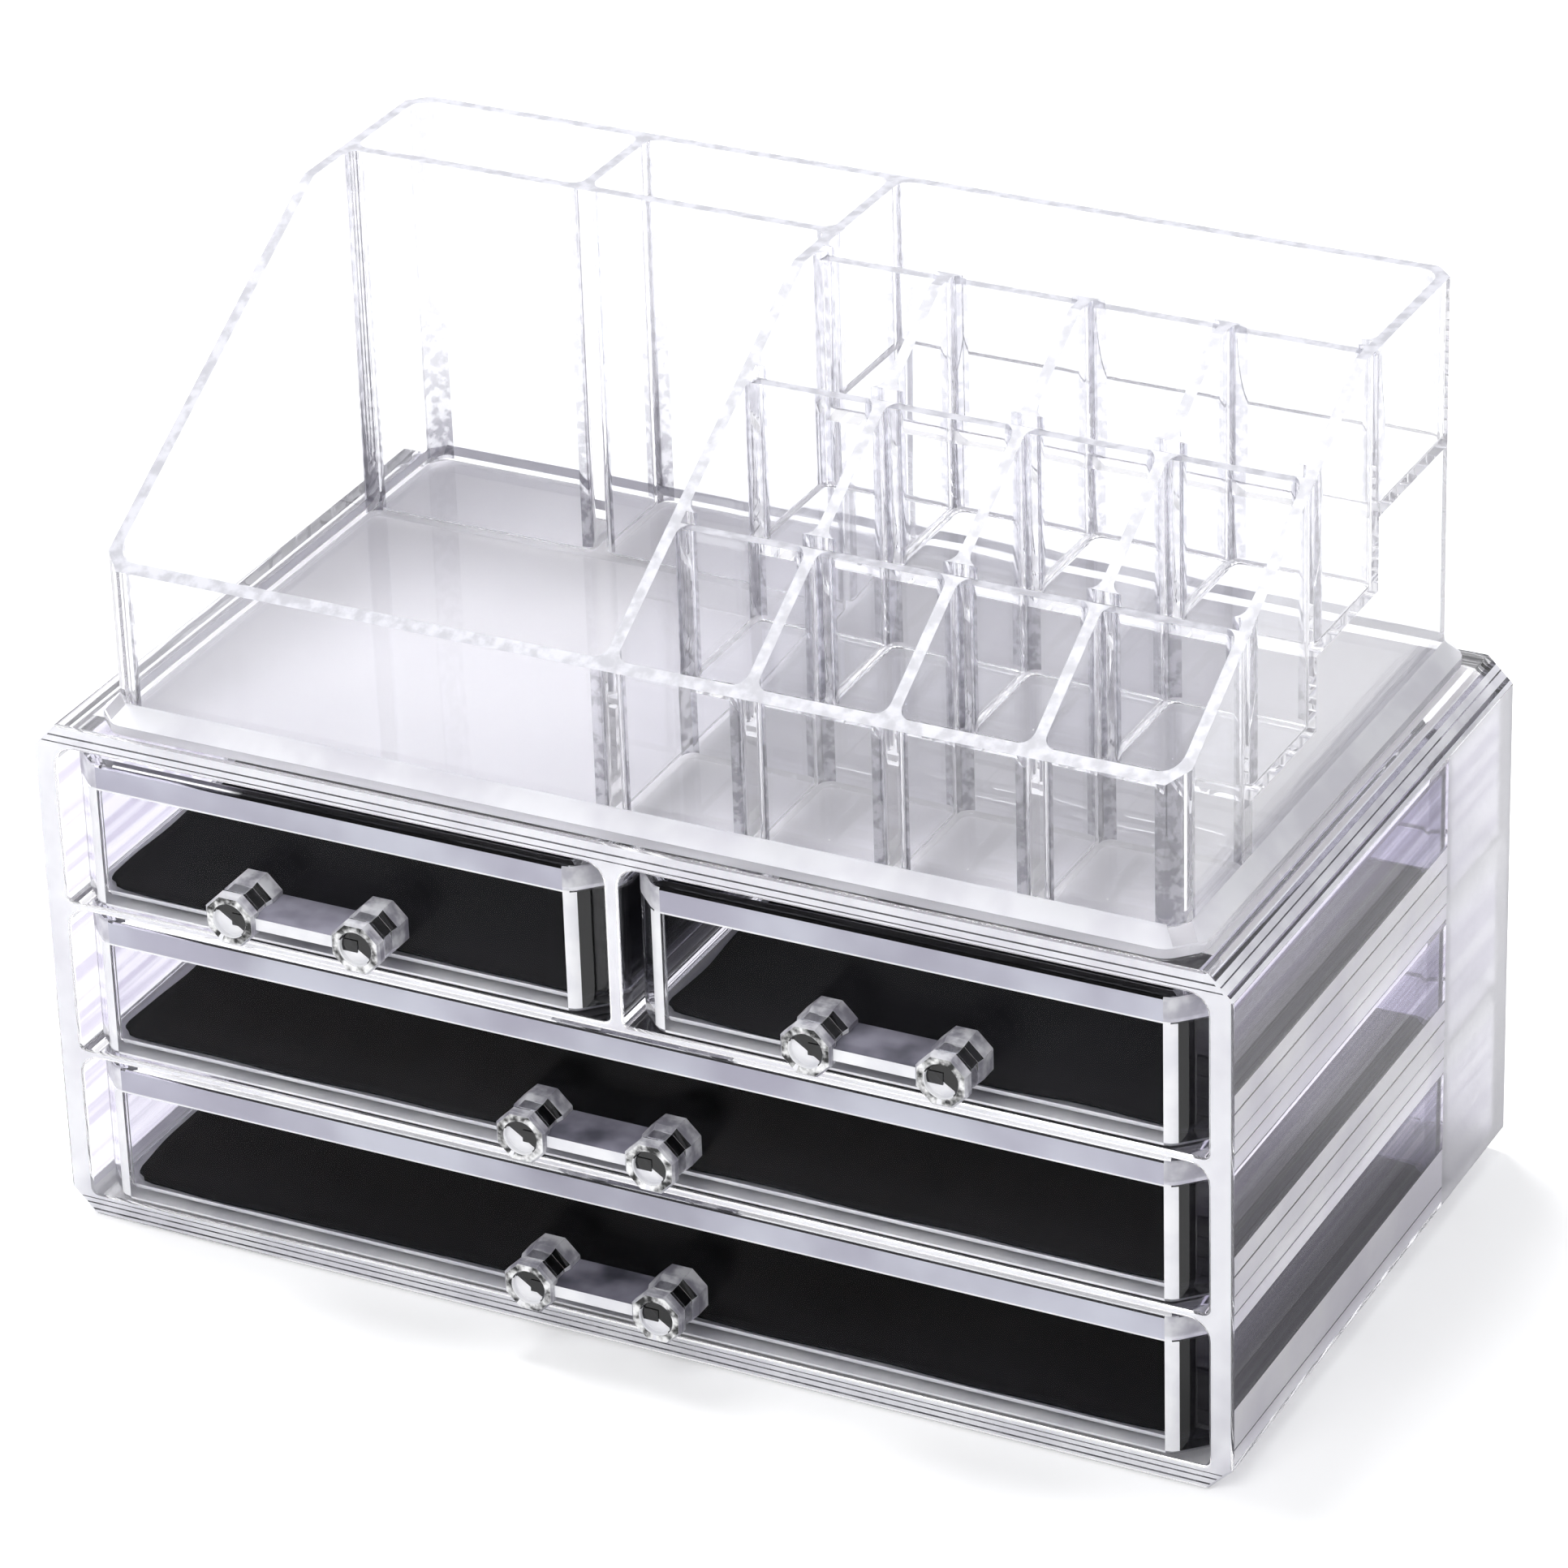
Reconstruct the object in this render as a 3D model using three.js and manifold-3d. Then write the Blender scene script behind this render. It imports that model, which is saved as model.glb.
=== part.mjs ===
// Clear cosmetics organiser in two stacked parts: a chest with four drawers, and a tray that stands on it.
// Millimetres, +Z up. The front faces -Y. The origin is on the table, under the middle of the whole outline.

import * as THREE from "three";
import { mergeVertices } from "three/addons/utils/BufferGeometryUtils.js";
import Module from "manifold-3d";

const wasm = await Module();
wasm.setup();

// Chest: a sleeve with its long edges cut off at 45 degrees, open at the front and closed at the back
const chestWidth = 240;
const chestDepth = 130;
const chestHeight = 105;
const chestCornerCut = 5;
const chestInnerTopCut = 2.6;
const chestInnerLowCut = 1;
const chestWall = 4.7;
const shelfThickness = 1.6;
const lowerTierHeight = 30.1;
const partitionThickness = 2.8;
const backPanelThickness = 2.5;

// Drawers: open boxes with cut upright corners and a thicker band round the rim
const drawerDepth = 111;
const drawerWall = 2;
const drawerFloor = 1.5;
const drawerCornerCut = 6;
const drawerRimHeight = 5.2;
const drawerRimWall = 3;
const drawerSideGap = 1;
const drawerRestGap = 0.3;
const lowerDrawerTopGap = 0.8;
const upperDrawerTopGap = 2;

// Liners: thin soft pads, cut smaller than the drawer floor
const linerThickness = 1;
const linerMargin = 1.2;

// Handles: two eight-sided posts joined by a flat web that starts on the drawer's front face.
// Each handle sits a little left of its drawer's middle.
const handlePostSpacing = 26.2;
const handleReach = 11.1;
const handleRise = 10.2;
const handleShift = -1.8;
const postSides = 8;
const postFootWidth = 10;
const postFootLength = 3.8;
const postWaistWidth = 9;
const postWaistStart = 5.2;
const postWaistEnd = 7.8;
const postHeadWidth = 10;
const postHeadPlace = 9;
const postHeadRound = 0.4;
const postRecessWidth = 6.6;
const postRecessDepth = 1.2;
const webEnd = 10;
const webThickness = 2.4;

// Tray: walls on a base, high at the back and sloping down to a low front
const trayWidth = 214.2;
const trayDepth = 122;
const trayHeight = 78;
const trayFrontHeight = 32;
const trayFlatTop = 42.5;
const trayCornerCut = 3.55;
const trayWall = 2.2;
const trayBase = 2.2;
const trayFootWidth = 3.3;
const trayFootHeight = 2.8;
const trayShift = 2.1;
const tallBayDepth = 24.5;
const tallDividerShift = 1.2;

// Rack: three rows and four columns of cells that step up towards the back
const rackRows = 3;
const rackColumns = 4;
const rowPitch = 28.4;
const columnPitch = 27.4;
const rowStep = 14.65;
const rowWallDrop = 1.8;

// Values shared by the shapes
const cornerReliefGap = 0.5;
const cutOverrun = 1;

const outlineDepth = chestDepth + handleReach;
const frontY = handleReach - outlineDepth / 2;
const backY = outlineDepth / 2;

// Clear polystyrene and the black liner material
const clear = { color: 0xeef0f7, roughness: 0.06, metalness: 0, transparent: true, opacity: 0.45 };
const black = { color: 0x17171b, roughness: 0.85, metalness: 0 };

function polygon(points) {
  return new THREE.Shape(points.map(([u, v]) => new THREE.Vector2(u, v)));
}

/** Rectangle about (x, y) with its corners cut at 45 degrees; the cuts go round from the lower left. */
function cutRect(x, y, width, height, cuts) {
  const [lowLeft, lowRight, highRight, highLeft] = Array.isArray(cuts) ? cuts : Array(4).fill(cuts);
  const left = x - width / 2;
  const right = x + width / 2;
  const low = y - height / 2;
  const high = y + height / 2;
  return polygon([
    [left, low + lowLeft],
    [left + lowLeft, low],
    [right - lowRight, low],
    [right, low + lowRight],
    [right, high - highRight],
    [right - highRight, high],
    [left + highLeft, high],
    [left, high - highLeft],
  ]);
}

/** Corner cut of an outline after it moves inward, so that every side moves by the same distance. */
function insetCut(cut, distance) {
  return cut - distance * (2 - Math.SQRT2);
}

/** Shape in (x, y), standing from z = low to z = high. */
function prismUp(shape, low, high) {
  return new THREE.ExtrudeGeometry(shape, { depth: high - low, bevelEnabled: false }).translate(0, 0, low);
}

/** Shape in (x, z), running from y = front to y = back. */
function prismBack(shape, front, back) {
  const turn = new THREE.Matrix4().makeBasis(
    new THREE.Vector3(1, 0, 0),
    new THREE.Vector3(0, 0, 1),
    new THREE.Vector3(0, -1, 0),
  );
  return prismUp(shape, 0, back - front).applyMatrix4(turn).translate(0, back, 0);
}

/** Shape in (y, z), running from x = left to x = right. */
function prismAcross(shape, left, right) {
  const turn = new THREE.Matrix4().makeBasis(
    new THREE.Vector3(0, 1, 0),
    new THREE.Vector3(0, 0, 1),
    new THREE.Vector3(1, 0, 0),
  );
  return prismUp(shape, 0, right - left).applyMatrix4(turn).translate(left, 0, 0);
}

/** Block between two corners. */
function block(low, high) {
  const size = high.map((value, i) => value - low[i]);
  const middle = high.map((value, i) => (value + low[i]) / 2);
  return new THREE.BoxGeometry(...size).translate(...middle);
}

/** Solid between two outlines with the same number of points, one above the other. */
function taper(lowShape, highShape, low, high) {
  const rings = [lowShape, highShape].map((shape) => shape.getPoints());
  const count = rings[0].length;
  const position = [];
  rings[0].forEach((point) => position.push(point.x, point.y, low));
  rings[1].forEach((point) => position.push(point.x, point.y, high));
  const index = [];
  for (let i = 0; i < count; i++) {
    const next = (i + 1) % count;
    index.push(i, next, count + next, i, count + next, count + i);
  }
  for (const [a, b, c] of THREE.ShapeUtils.triangulateShape(rings[0], [])) {
    index.push(c, b, a, count + a, count + b, count + c);
  }
  const geometry = new THREE.BufferGeometry();
  geometry.setAttribute("position", new THREE.Float32BufferAttribute(position, 3));
  geometry.setIndex(index);
  return geometry;
}

/** Closed mesh as a solid that can be cut and joined. */
function solid(geometry) {
  const bare = geometry.clone();
  bare.deleteAttribute("normal");
  bare.deleteAttribute("uv");
  const merged = mergeVertices(bare);
  const corners = merged.index.array;
  const kept = [];
  for (let i = 0; i < corners.length; i += 3) {
    const [a, b, c] = corners.slice(i, i + 3);
    if (a !== b && b !== c && c !== a) kept.push(a, b, c);
  }
  const mesh = new wasm.Mesh({
    numProp: 3,
    vertProperties: Float32Array.from(merged.attributes.position.array),
    triVerts: Uint32Array.from(kept),
  });
  return new wasm.Manifold(mesh);
}

function geometryOf(manifold) {
  const mesh = manifold.getMesh();
  const geometry = new THREE.BufferGeometry();
  geometry.setAttribute("position", new THREE.Float32BufferAttribute(mesh.vertProperties, 3));
  geometry.setIndex(Array.from(mesh.triVerts));
  geometry.computeVertexNormals();
  return geometry;
}

function addPiece(group, name, geometry, finish) {
  const mesh = new THREE.Mesh(geometry, new THREE.MeshStandardMaterial(finish));
  mesh.name = name;
  group.add(mesh);
}

// Chest places; the heights of its floors run from the table up
const innerWidth = chestWidth - 2 * chestWall;
const chestInnerCuts = [chestInnerLowCut, chestInnerLowCut, chestInnerTopCut, chestInnerTopCut];
const panelFrontY = backY - backPanelThickness;
const lowerShelfZ = chestWall + lowerTierHeight;
const upperShelfZ = lowerShelfZ + shelfThickness + lowerTierHeight;
const topTierZ = upperShelfZ + shelfThickness;
const ceilingZ = chestHeight - chestWall;

function chestSleeve() {
  const midZ = chestHeight / 2;
  const outline = cutRect(0, midZ, chestWidth, chestHeight, chestCornerCut);
  outline.holes.push(cutRect(0, midZ, innerWidth, chestHeight - 2 * chestWall, chestInnerCuts));
  return prismBack(outline, frontY, backY);
}

function backPanel() {
  const cuts = chestInnerCuts.map((cut) => cut + cornerReliefGap);
  const outline = cutRect(0, chestHeight / 2, innerWidth, chestHeight - 2 * chestWall, cuts);
  return prismBack(outline, panelFrontY, backY);
}

function shelf(low) {
  const half = innerWidth / 2;
  return block([-half, frontY, low], [half, panelFrontY, low + shelfThickness]);
}

function partition() {
  const half = partitionThickness / 2;
  return block([-half, frontY, topTierZ], [half, panelFrontY, ceilingZ]);
}

function chest() {
  const group = new THREE.Group();
  addPiece(group, "chest_sleeve", chestSleeve(), clear);
  addPiece(group, "chest_back_panel", backPanel(), clear);
  addPiece(group, "chest_lower_shelf", shelf(lowerShelfZ), clear);
  addPiece(group, "chest_upper_shelf", shelf(upperShelfZ), clear);
  addPiece(group, "chest_partition", partition(), clear);
  return group;
}

/** Open box with its front face on y = 0 and its underside on z = 0. */
function drawerBox(width, height) {
  const midY = drawerDepth / 2;
  const hollow = (wall) =>
    cutRect(0, midY, width - 2 * wall, drawerDepth - 2 * wall, insetCut(drawerCornerCut, wall));
  const outside = solid(prismUp(cutRect(0, midY, width, drawerDepth, drawerCornerCut), 0, height));
  const rimZ = height - drawerRimHeight;
  const lowHollow = solid(prismUp(hollow(drawerWall), drawerFloor, rimZ));
  const rimHollow = solid(prismUp(hollow(drawerRimWall), drawerFloor, height + cutOverrun));
  return geometryOf(outside.subtract(lowHollow).subtract(rimHollow));
}

/** Eight-sided post from the drawer's front face out to its recessed head. */
function handlePost(x) {
  const cornerShare = 1 / Math.cos(Math.PI / postSides) / 2;
  const profile = [
    [0, 0],
    [postFootWidth, 0],
    [postFootWidth, postFootLength],
    [postWaistWidth, postWaistStart],
    [postWaistWidth, postWaistEnd],
    [postHeadWidth, postHeadPlace],
    [postHeadWidth, handleReach - postHeadRound],
    [postHeadWidth - 2 * postHeadRound, handleReach],
    [postRecessWidth, handleReach],
    [postRecessWidth, handleReach - postRecessDepth],
    [0, handleReach - postRecessDepth],
  ];
  const points = profile.map(([width, along]) => new THREE.Vector2(width * cornerShare, along));
  const post = new THREE.LatheGeometry(points, postSides, Math.PI / postSides);
  return solid(post.rotateX(Math.PI).translate(x, 0, 0));
}

function handle() {
  const half = handlePostSpacing / 2;
  const thin = webThickness / 2;
  const web = solid(block([-half, -webEnd, -thin], [half, 0, thin]));
  const posts = handlePost(-half).add(handlePost(half));
  const recess = postRecessWidth / 2;
  const room = handleReach - postRecessDepth;
  const openings = [-half, half].map((x) =>
    solid(block([x - recess, -handleReach - cutOverrun, -recess], [x + recess, -room, recess])),
  );
  const joined = posts.add(web);
  return geometryOf(openings.reduce((body, cut) => body.subtract(cut), joined));
}

function liner(width) {
  const inset = drawerWall + linerMargin;
  const cut = insetCut(drawerCornerCut, inset);
  const outline = cutRect(0, drawerDepth / 2, width - 2 * inset, drawerDepth - 2 * inset, cut);
  return prismUp(outline, drawerFloor, drawerFloor + linerThickness);
}

/** One drawer with its handle and liner, closed, with its middle at x and its tier's floor at floorZ. */
function drawer(name, x, floorZ, width, tierHeight, topGap) {
  const group = new THREE.Group();
  group.position.set(x, frontY, floorZ + drawerRestGap);
  addPiece(group, `${name}_box`, drawerBox(width, tierHeight - drawerRestGap - topGap), clear);
  addPiece(group, `${name}_liner`, liner(width), black);
  const grip = handle();
  grip.translate(handleShift, 0, handleRise);
  addPiece(group, `${name}_handle`, grip, clear);
  return group;
}

function drawers() {
  const group = new THREE.Group();
  const fullWidth = innerWidth - 2 * drawerSideGap;
  const halfWidth = (innerWidth - partitionThickness) / 2 - 2 * drawerSideGap;
  const halfX = (innerWidth / 2 + partitionThickness / 2) / 2;
  const topTierHeight = ceilingZ - topTierZ;
  group.add(drawer("drawer_top_left", -halfX, topTierZ, halfWidth, topTierHeight, upperDrawerTopGap));
  group.add(drawer("drawer_top_right", halfX, topTierZ, halfWidth, topTierHeight, upperDrawerTopGap));
  const middleZ = lowerShelfZ + shelfThickness;
  group.add(drawer("drawer_middle", 0, middleZ, fullWidth, lowerTierHeight, lowerDrawerTopGap));
  group.add(drawer("drawer_bottom", 0, chestWall, fullWidth, lowerTierHeight, lowerDrawerTopGap));
  return group;
}

// Tray places, in the tray's own frame: middle of the outline, z = 0 on the underside of the base
const trayFront = -trayDepth / 2;
const trayBack = trayDepth / 2;
const slopeStart = trayBack - trayFlatTop;
const insideFront = trayFront + trayWall;
const insideBack = trayBack - trayWall;
const insideRight = trayWidth / 2 - trayWall;
const middleWallX = trayWidth / 2 - trayWall / 2 - rackColumns * columnPitch;
const tallWallY = insideBack - tallBayDepth - trayWall;
const tallDividerX = (middleWallX - trayWall / 2 - insideRight) / 2 - tallDividerShift;
const trayInnerCut = insetCut(trayCornerCut, trayWall);

/** Height of the sloping rim at y. */
function rimHeight(y) {
  const rise = (trayHeight - trayFrontHeight) * ((y - trayFront) / (slopeStart - trayFront));
  return Math.min(trayHeight, trayFrontHeight + rise);
}

/** Side outline of a wall that stands from low up to the sloping rim, between two places in y. */
function sideOutline(front, back, low) {
  const points = [
    [front, low],
    [back, low],
    [back, rimHeight(back)],
  ];
  if (front < slopeStart && slopeStart < back) points.push([slopeStart, trayHeight]);
  points.push([front, rimHeight(front)]);
  return polygon(points);
}

/** Outline of the tray's outer wall, moved outward all round. */
function trayOutline(grow) {
  return cutRect(0, 0, trayWidth + 2 * grow, trayDepth + 2 * grow, insetCut(trayCornerCut, -grow));
}

/** Outer wall in one ring, with a sloping foot, cut down to the sloping rim. */
function outerWall() {
  const ring = solid(prismUp(trayOutline(0), trayBase, trayHeight));
  const footTop = trayBase + trayFootHeight;
  const foot = solid(taper(trayOutline(trayFootWidth), trayOutline(0), trayBase, footTop));
  const hollow = solid(prismUp(trayOutline(-trayWall), 0, trayHeight + cutOverrun));
  const above = polygon([
    [trayFront - trayFootWidth - cutOverrun, trayFrontHeight],
    [trayFront, trayFrontHeight],
    [slopeStart, trayHeight],
    [slopeStart, trayHeight + cutOverrun],
    [trayFront - trayFootWidth - cutOverrun, trayHeight + cutOverrun],
  ]);
  const reach = trayWidth / 2 + trayFootWidth + cutOverrun;
  const slope = solid(prismAcross(above, -reach, reach));
  return geometryOf(ring.add(foot).subtract(hollow).subtract(slope));
}

function lengthwiseWall(x, front, back, low) {
  return prismAcross(sideOutline(front, back, low), x - trayWall / 2, x + trayWall / 2);
}

/** Floor of the shallow bay behind the rack, cut where it meets the outer wall's back corner. */
function rearBayFloor(front, high) {
  const left = middleWallX + trayWall / 2;
  const outline = cutRect(
    (left + insideRight) / 2, (front + insideBack) / 2, insideRight - left, insideBack - front,
    [0, 0, trayInnerCut + cornerReliefGap, 0],
  );
  return prismUp(outline, high - trayWall, high);
}

/** Stepped floors, row walls and dividers; row 1 is at the front and column 1 on the left. */
function rack(group) {
  const left = middleWallX + trayWall / 2;
  for (let row = 0; row < rackRows; row++) {
    const front = insideFront + row * rowPitch;
    const back = front + rowPitch - trayWall;
    const floor = trayBase + row * rowStep;
    if (row > 0) {
      const plate = block([left, front, floor - trayWall], [insideRight, back, floor]);
      addPiece(group, `rack_row_${row + 1}_floor`, plate, clear);
    }
    const wallLow = row > 0 ? floor - trayWall : floor;
    const wallHigh = rimHeight(back + trayWall / 2) - rowWallDrop;
    const wall = block([left, back, wallLow], [insideRight, back + trayWall, wallHigh]);
    addPiece(group, `rack_row_${row + 1}_wall`, wall, clear);
    for (let column = 1; column < rackColumns; column++) {
      const divider = lengthwiseWall(middleWallX + column * columnPitch, front, back, floor);
      addPiece(group, `rack_row_${row + 1}_divider_${column}`, divider, clear);
    }
  }
  const behind = insideFront + rackRows * rowPitch;
  addPiece(group, "tray_rear_bay_floor", rearBayFloor(behind, trayBase + rackRows * rowStep), clear);
}

function tray() {
  const group = new THREE.Group();
  group.position.set(trayShift, (frontY + backY) / 2, chestHeight);
  addPiece(group, "tray_base", prismUp(trayOutline(trayFootWidth), 0, trayBase), clear);
  addPiece(group, "tray_outer_wall", outerWall(), clear);
  addPiece(group, "tray_middle_wall", lengthwiseWall(middleWallX, insideFront, insideBack, trayBase), clear);
  const tallRight = middleWallX - trayWall / 2;
  const tallTop = rimHeight(tallWallY);
  const tallWall = block([-insideRight, tallWallY, trayBase], [tallRight, tallWallY + trayWall, tallTop]);
  addPiece(group, "tray_tall_wall", tallWall, clear);
  const tallDivider = lengthwiseWall(tallDividerX, tallWallY + trayWall, insideBack, trayBase);
  addPiece(group, "tray_tall_divider", tallDivider, clear);
  rack(group);
  return group;
}

const organiser = new THREE.Group();
organiser.add(chest());
organiser.add(drawers());
organiser.add(tray());

export default organiser;
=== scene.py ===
# %% [markdown]
# # Clear cosmetics organiser
# The object is two clear plastic mouldings, one on the other. The lower one is a chest with four drawers,
# and the upper one is an open tray with stepped cells for lipsticks.
# Each drawer holds a loose black liner, and an eight-sided clear handle is fixed to its front.
# The CAD model gives every place and size. This script only makes the looks, so it starts by loading it.

import math

import bmesh
import bpy
import numpy as np
from mathutils import Matrix, Vector, geometry, noise


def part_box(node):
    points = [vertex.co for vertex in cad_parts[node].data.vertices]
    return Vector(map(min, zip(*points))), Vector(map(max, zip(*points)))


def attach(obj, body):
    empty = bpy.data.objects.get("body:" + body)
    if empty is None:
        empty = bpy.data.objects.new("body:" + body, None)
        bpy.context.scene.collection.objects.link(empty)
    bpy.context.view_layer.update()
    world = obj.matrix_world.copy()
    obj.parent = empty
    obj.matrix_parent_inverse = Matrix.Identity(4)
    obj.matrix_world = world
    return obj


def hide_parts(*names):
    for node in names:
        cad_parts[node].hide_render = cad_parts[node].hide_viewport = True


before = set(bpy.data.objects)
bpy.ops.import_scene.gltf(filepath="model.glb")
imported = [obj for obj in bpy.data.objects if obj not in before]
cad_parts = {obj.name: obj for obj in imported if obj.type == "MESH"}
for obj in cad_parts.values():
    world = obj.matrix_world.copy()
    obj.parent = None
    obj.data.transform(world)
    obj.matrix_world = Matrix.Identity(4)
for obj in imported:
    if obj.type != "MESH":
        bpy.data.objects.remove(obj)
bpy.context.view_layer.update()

# %% [markdown]
# Moulded plastic is easiest to think about in millimetres, so the shapes below are worked out in them.
# They turn into Blender's metres once, when a mesh is made.

# %% Sizes from the CAD
MM = 0.001


def box_mm(node):
    """Lowest and highest corner of a CAD node, in millimetres."""
    return [np.array(corner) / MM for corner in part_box(node)]


chest_low, chest_high = box_mm("chest_sleeve")
print("chest", (chest_high - chest_low).round(1), "mm")

# %% [markdown]
# Every part of the organiser is a rectangle in plan, with its corners either rounded or cut off flat.
# A clear part shows each edge as a bright or dark line, because the edge bends the light.
# A perfectly sharp edge would show none, so even the flat cuts get a tiny rounding.
# One function draws such an outline, and can move it in or out, so that walls keep an even thickness.

# %% Outlines
ROUND_STEPS = 6
SOFT_STEPS = 2
CUT_SHARE = 2 - math.sqrt(2)
LEAST_RADIUS = 0.03


def turned(vector, angle):
    c, s = math.cos(angle), math.sin(angle)
    return np.array([vector[0] * c - vector[1] * s, vector[0] * s + vector[1] * c])


def bend(corner, heading, angle, radius, steps):
    """Points of an arc that rounds one corner of a path that turns left there."""
    side = turned(heading, math.pi / 2)
    centre = corner - heading * radius * math.tan(angle / 2) + side * radius
    return [centre + turned(-side * radius, angle * i / steps) for i in range(steps + 1)]


def outline(low, high, cut=0.0, soft=1.0, grow=0.0):
    """Rectangle with cut or rounded corners, anticlockwise from the lower left, moved outward by grow."""
    (x0, y0), (x1, y1) = np.array(low[:2]) - grow, np.array(high[:2]) + grow
    radii = [max(r + grow, LEAST_RADIUS) for r in (soft if hasattr(soft, "__len__") else [soft] * 4)]
    length = cut + grow * CUT_SHARE if cut else 0
    points = []
    for k, corner in enumerate([(x0, y0), (x1, y0), (x1, y1), (x0, y1)]):
        corner = np.array(corner)
        arriving = turned(np.array([0.0, -1.0]), k * math.pi / 2)
        leaving = turned(arriving, math.pi / 2)
        if cut:
            along = (arriving + leaving) / math.sqrt(2)
            points += bend(corner - arriving * length, arriving, math.pi / 4, radii[k], SOFT_STEPS)
            points += bend(corner + leaving * length, along, math.pi / 4, radii[k], SOFT_STEPS)
        else:
            points += bend(corner, arriving, math.pi / 2, radii[k], ROUND_STEPS)
    return np.array(points)


print("points in a cut outline:", len(outline((0, 0), (10, 10), cut=2, soft=0.3)))

# %% [markdown]
# A moulding is a block with pockets. Its surface is a stack of rings: up the outside, and down each pocket.
# A boolean could cut the pockets, but then the small roundings on the edges would have to be bevelled
# after it, and bevels often fail where thin walls meet. Rings put each rounding exactly where it belongs.
# Each step of a profile is how far the outline moves outward, and its height.

# %% Mouldings from rings
QUARTER_STEPS = 3


def quarter(start, end, first):
    """Quarter round between two profile steps; first says which of the two values changes first."""
    turns = [math.pi / 2 * i / QUARTER_STEPS for i in range(QUARTER_STEPS + 1)]
    fast, slow = [math.sin(t) for t in turns], [1 - math.cos(t) for t in turns]
    a, b = (fast, slow) if first == "width" else (slow, fast)
    (u0, v0), (u1, v1) = start, end
    return [(u0 + (u1 - u0) * u, v0 + (v1 - v0) * v) for u, v in zip(a, b)]


class Moulding:
    """Points and faces of one closed mesh, in millimetres."""

    def __init__(self):
        self.points, self.faces = [], []

    def ring(self, flat, height):
        first = len(self.points)
        self.points += [(x, y, height) for x, y in flat]
        return list(range(first, len(self.points)))

    def walls(self, rings):
        """Joins each ring to the next."""
        for low, high in zip(rings, rings[1:]):
            for i in range(len(low)):
                j = (i + 1) % len(low)
                self.faces.append((low[i], low[j], high[j], high[i]))

    def stack(self, shape, profile):
        """Rings joined by walls; shape(grow) gives the outline. Returns the first and last ring."""
        rings = [self.ring(shape(grow), height) for grow, height in profile]
        self.walls(rings)
        return rings[0], rings[-1]

    def top(self, outer, holes):
        """Flat face between an outer ring and the mouths of the pockets."""
        loops = [outer, *holes]
        flat = [i for loop in loops for i in loop]
        borders = [[Vector(self.points[i]) for i in loop] for loop in loops]
        for triangle in geometry.tessellate_polygon(borders):
            a, b, c = (Vector(self.points[flat[i]]) for i in triangle)
            corners = triangle if (b - a).cross(c - a).z > 0 else triangle[::-1]
            self.faces.append(tuple(flat[i] for i in corners))

    def block(self, shape, profile, pockets):
        """Closed block: outside wall, underside, pockets with their floors, and the top between them."""
        first, last = self.stack(shape, profile)
        self.faces.append(tuple(reversed(first)))
        mouths = []
        for pocket, steps in pockets:
            mouth, floor = self.stack(pocket, steps)
            self.faces.append(tuple(floor))
            mouths.append(mouth)
        if mouths:
            self.top(last, mouths)
        else:
            self.faces.append(tuple(last))
        return self

    def piece(self, name, place=Matrix.Identity(4)):
        """Blender object in metres; place turns and moves the millimetre shape first."""
        mesh = bpy.data.meshes.new(name)
        corners = [(place @ Vector(p)) * MM for p in self.points]
        mesh.from_pydata(corners, [], self.faces)
        mesh.validate()
        piece = bpy.data.objects.new(name, mesh)
        bpy.context.collection.objects.link(piece)
        return piece


def tidy_mesh(piece, turn_out=True):
    """Joins points that coincide, turns the faces outward, and prints whether the mesh is closed."""
    work = bmesh.new()
    work.from_mesh(piece.data)
    bmesh.ops.remove_doubles(work, verts=work.verts, dist=0.001 * MM)
    if turn_out:
        bmesh.ops.recalc_face_normals(work, faces=work.faces)
    loose = sum(1 for e in work.edges if len(e.link_faces) != 2)
    volume = round(work.calc_volume() * 1e6, 1)
    print(piece.name, len(work.faces), "faces,", loose, "open edges, volume", volume, "cm3")
    work.to_mesh(piece.data)
    work.free()
    return piece


# %% [markdown]
# Fillets should look round and walls should look flat. Weighted normals do both:
# at a shared point the large flat face decides, and only the narrow fillet faces bend the light.

# %% Shading
SHARP_FROM = 35


def shade(piece):
    piece.data.shade_smooth()
    piece.data.set_sharp_from_angle(angle=math.radians(SHARP_FROM))
    weighted = piece.modifiers.new("flat walls stay flat", "WEIGHTED_NORMAL")
    weighted.keep_sharp, weighted.weight = True, 80
    return piece


# %% [markdown]
# ## The chest
# The real chest is a sleeve with thick walls, two thin shelves, an upright in the top tier and a thin back.
# Light runs through the joined plastic without a break, so it is one mesh here, although the CAD has
# five solids. Two separate clear solids that touch would show a false mirror between them.
# The rings run from the back to the front, so each tier is a pocket that opens at the front.
# Each pocket has one more ring behind its mouth, which marks where the ceiling's painted white satin
# begins.

# %% Chest moulding
EDGE, CHEST_CUT, CHEST_SOFT = 0.45, 5, 0.5
TIER_CORNERS = [1.2, 1.2, 4, 4]
BACK_FILLET = 0.8
CEILING_PAINT_START = 9
lower_shelf, upper_shelf = box_mm("chest_lower_shelf"), box_mm("chest_upper_shelf")
upright, back_panel = box_mm("chest_partition"), box_mm("chest_back_panel")
depth = chest_high[1] - chest_low[1]
panel = back_panel[1][1] - back_panel[0][1]
inner_left, inner_right = lower_shelf[0][0], lower_shelf[1][0]
wall = inner_left - chest_low[0]
ceiling = chest_high[2] - wall
tiers = [
    ((inner_left, chest_low[2] + wall), (inner_right, lower_shelf[0][2])),
    ((inner_left, lower_shelf[1][2]), (inner_right, upper_shelf[0][2])),
    ((inner_left, upper_shelf[1][2]), (upright[0][0], ceiling)),
    ((upright[1][0], upper_shelf[1][2]), (inner_right, ceiling)),
]


def tier_pocket(low, high):
    return lambda grow: outline(low, high, soft=TIER_CORNERS, grow=grow)


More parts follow.
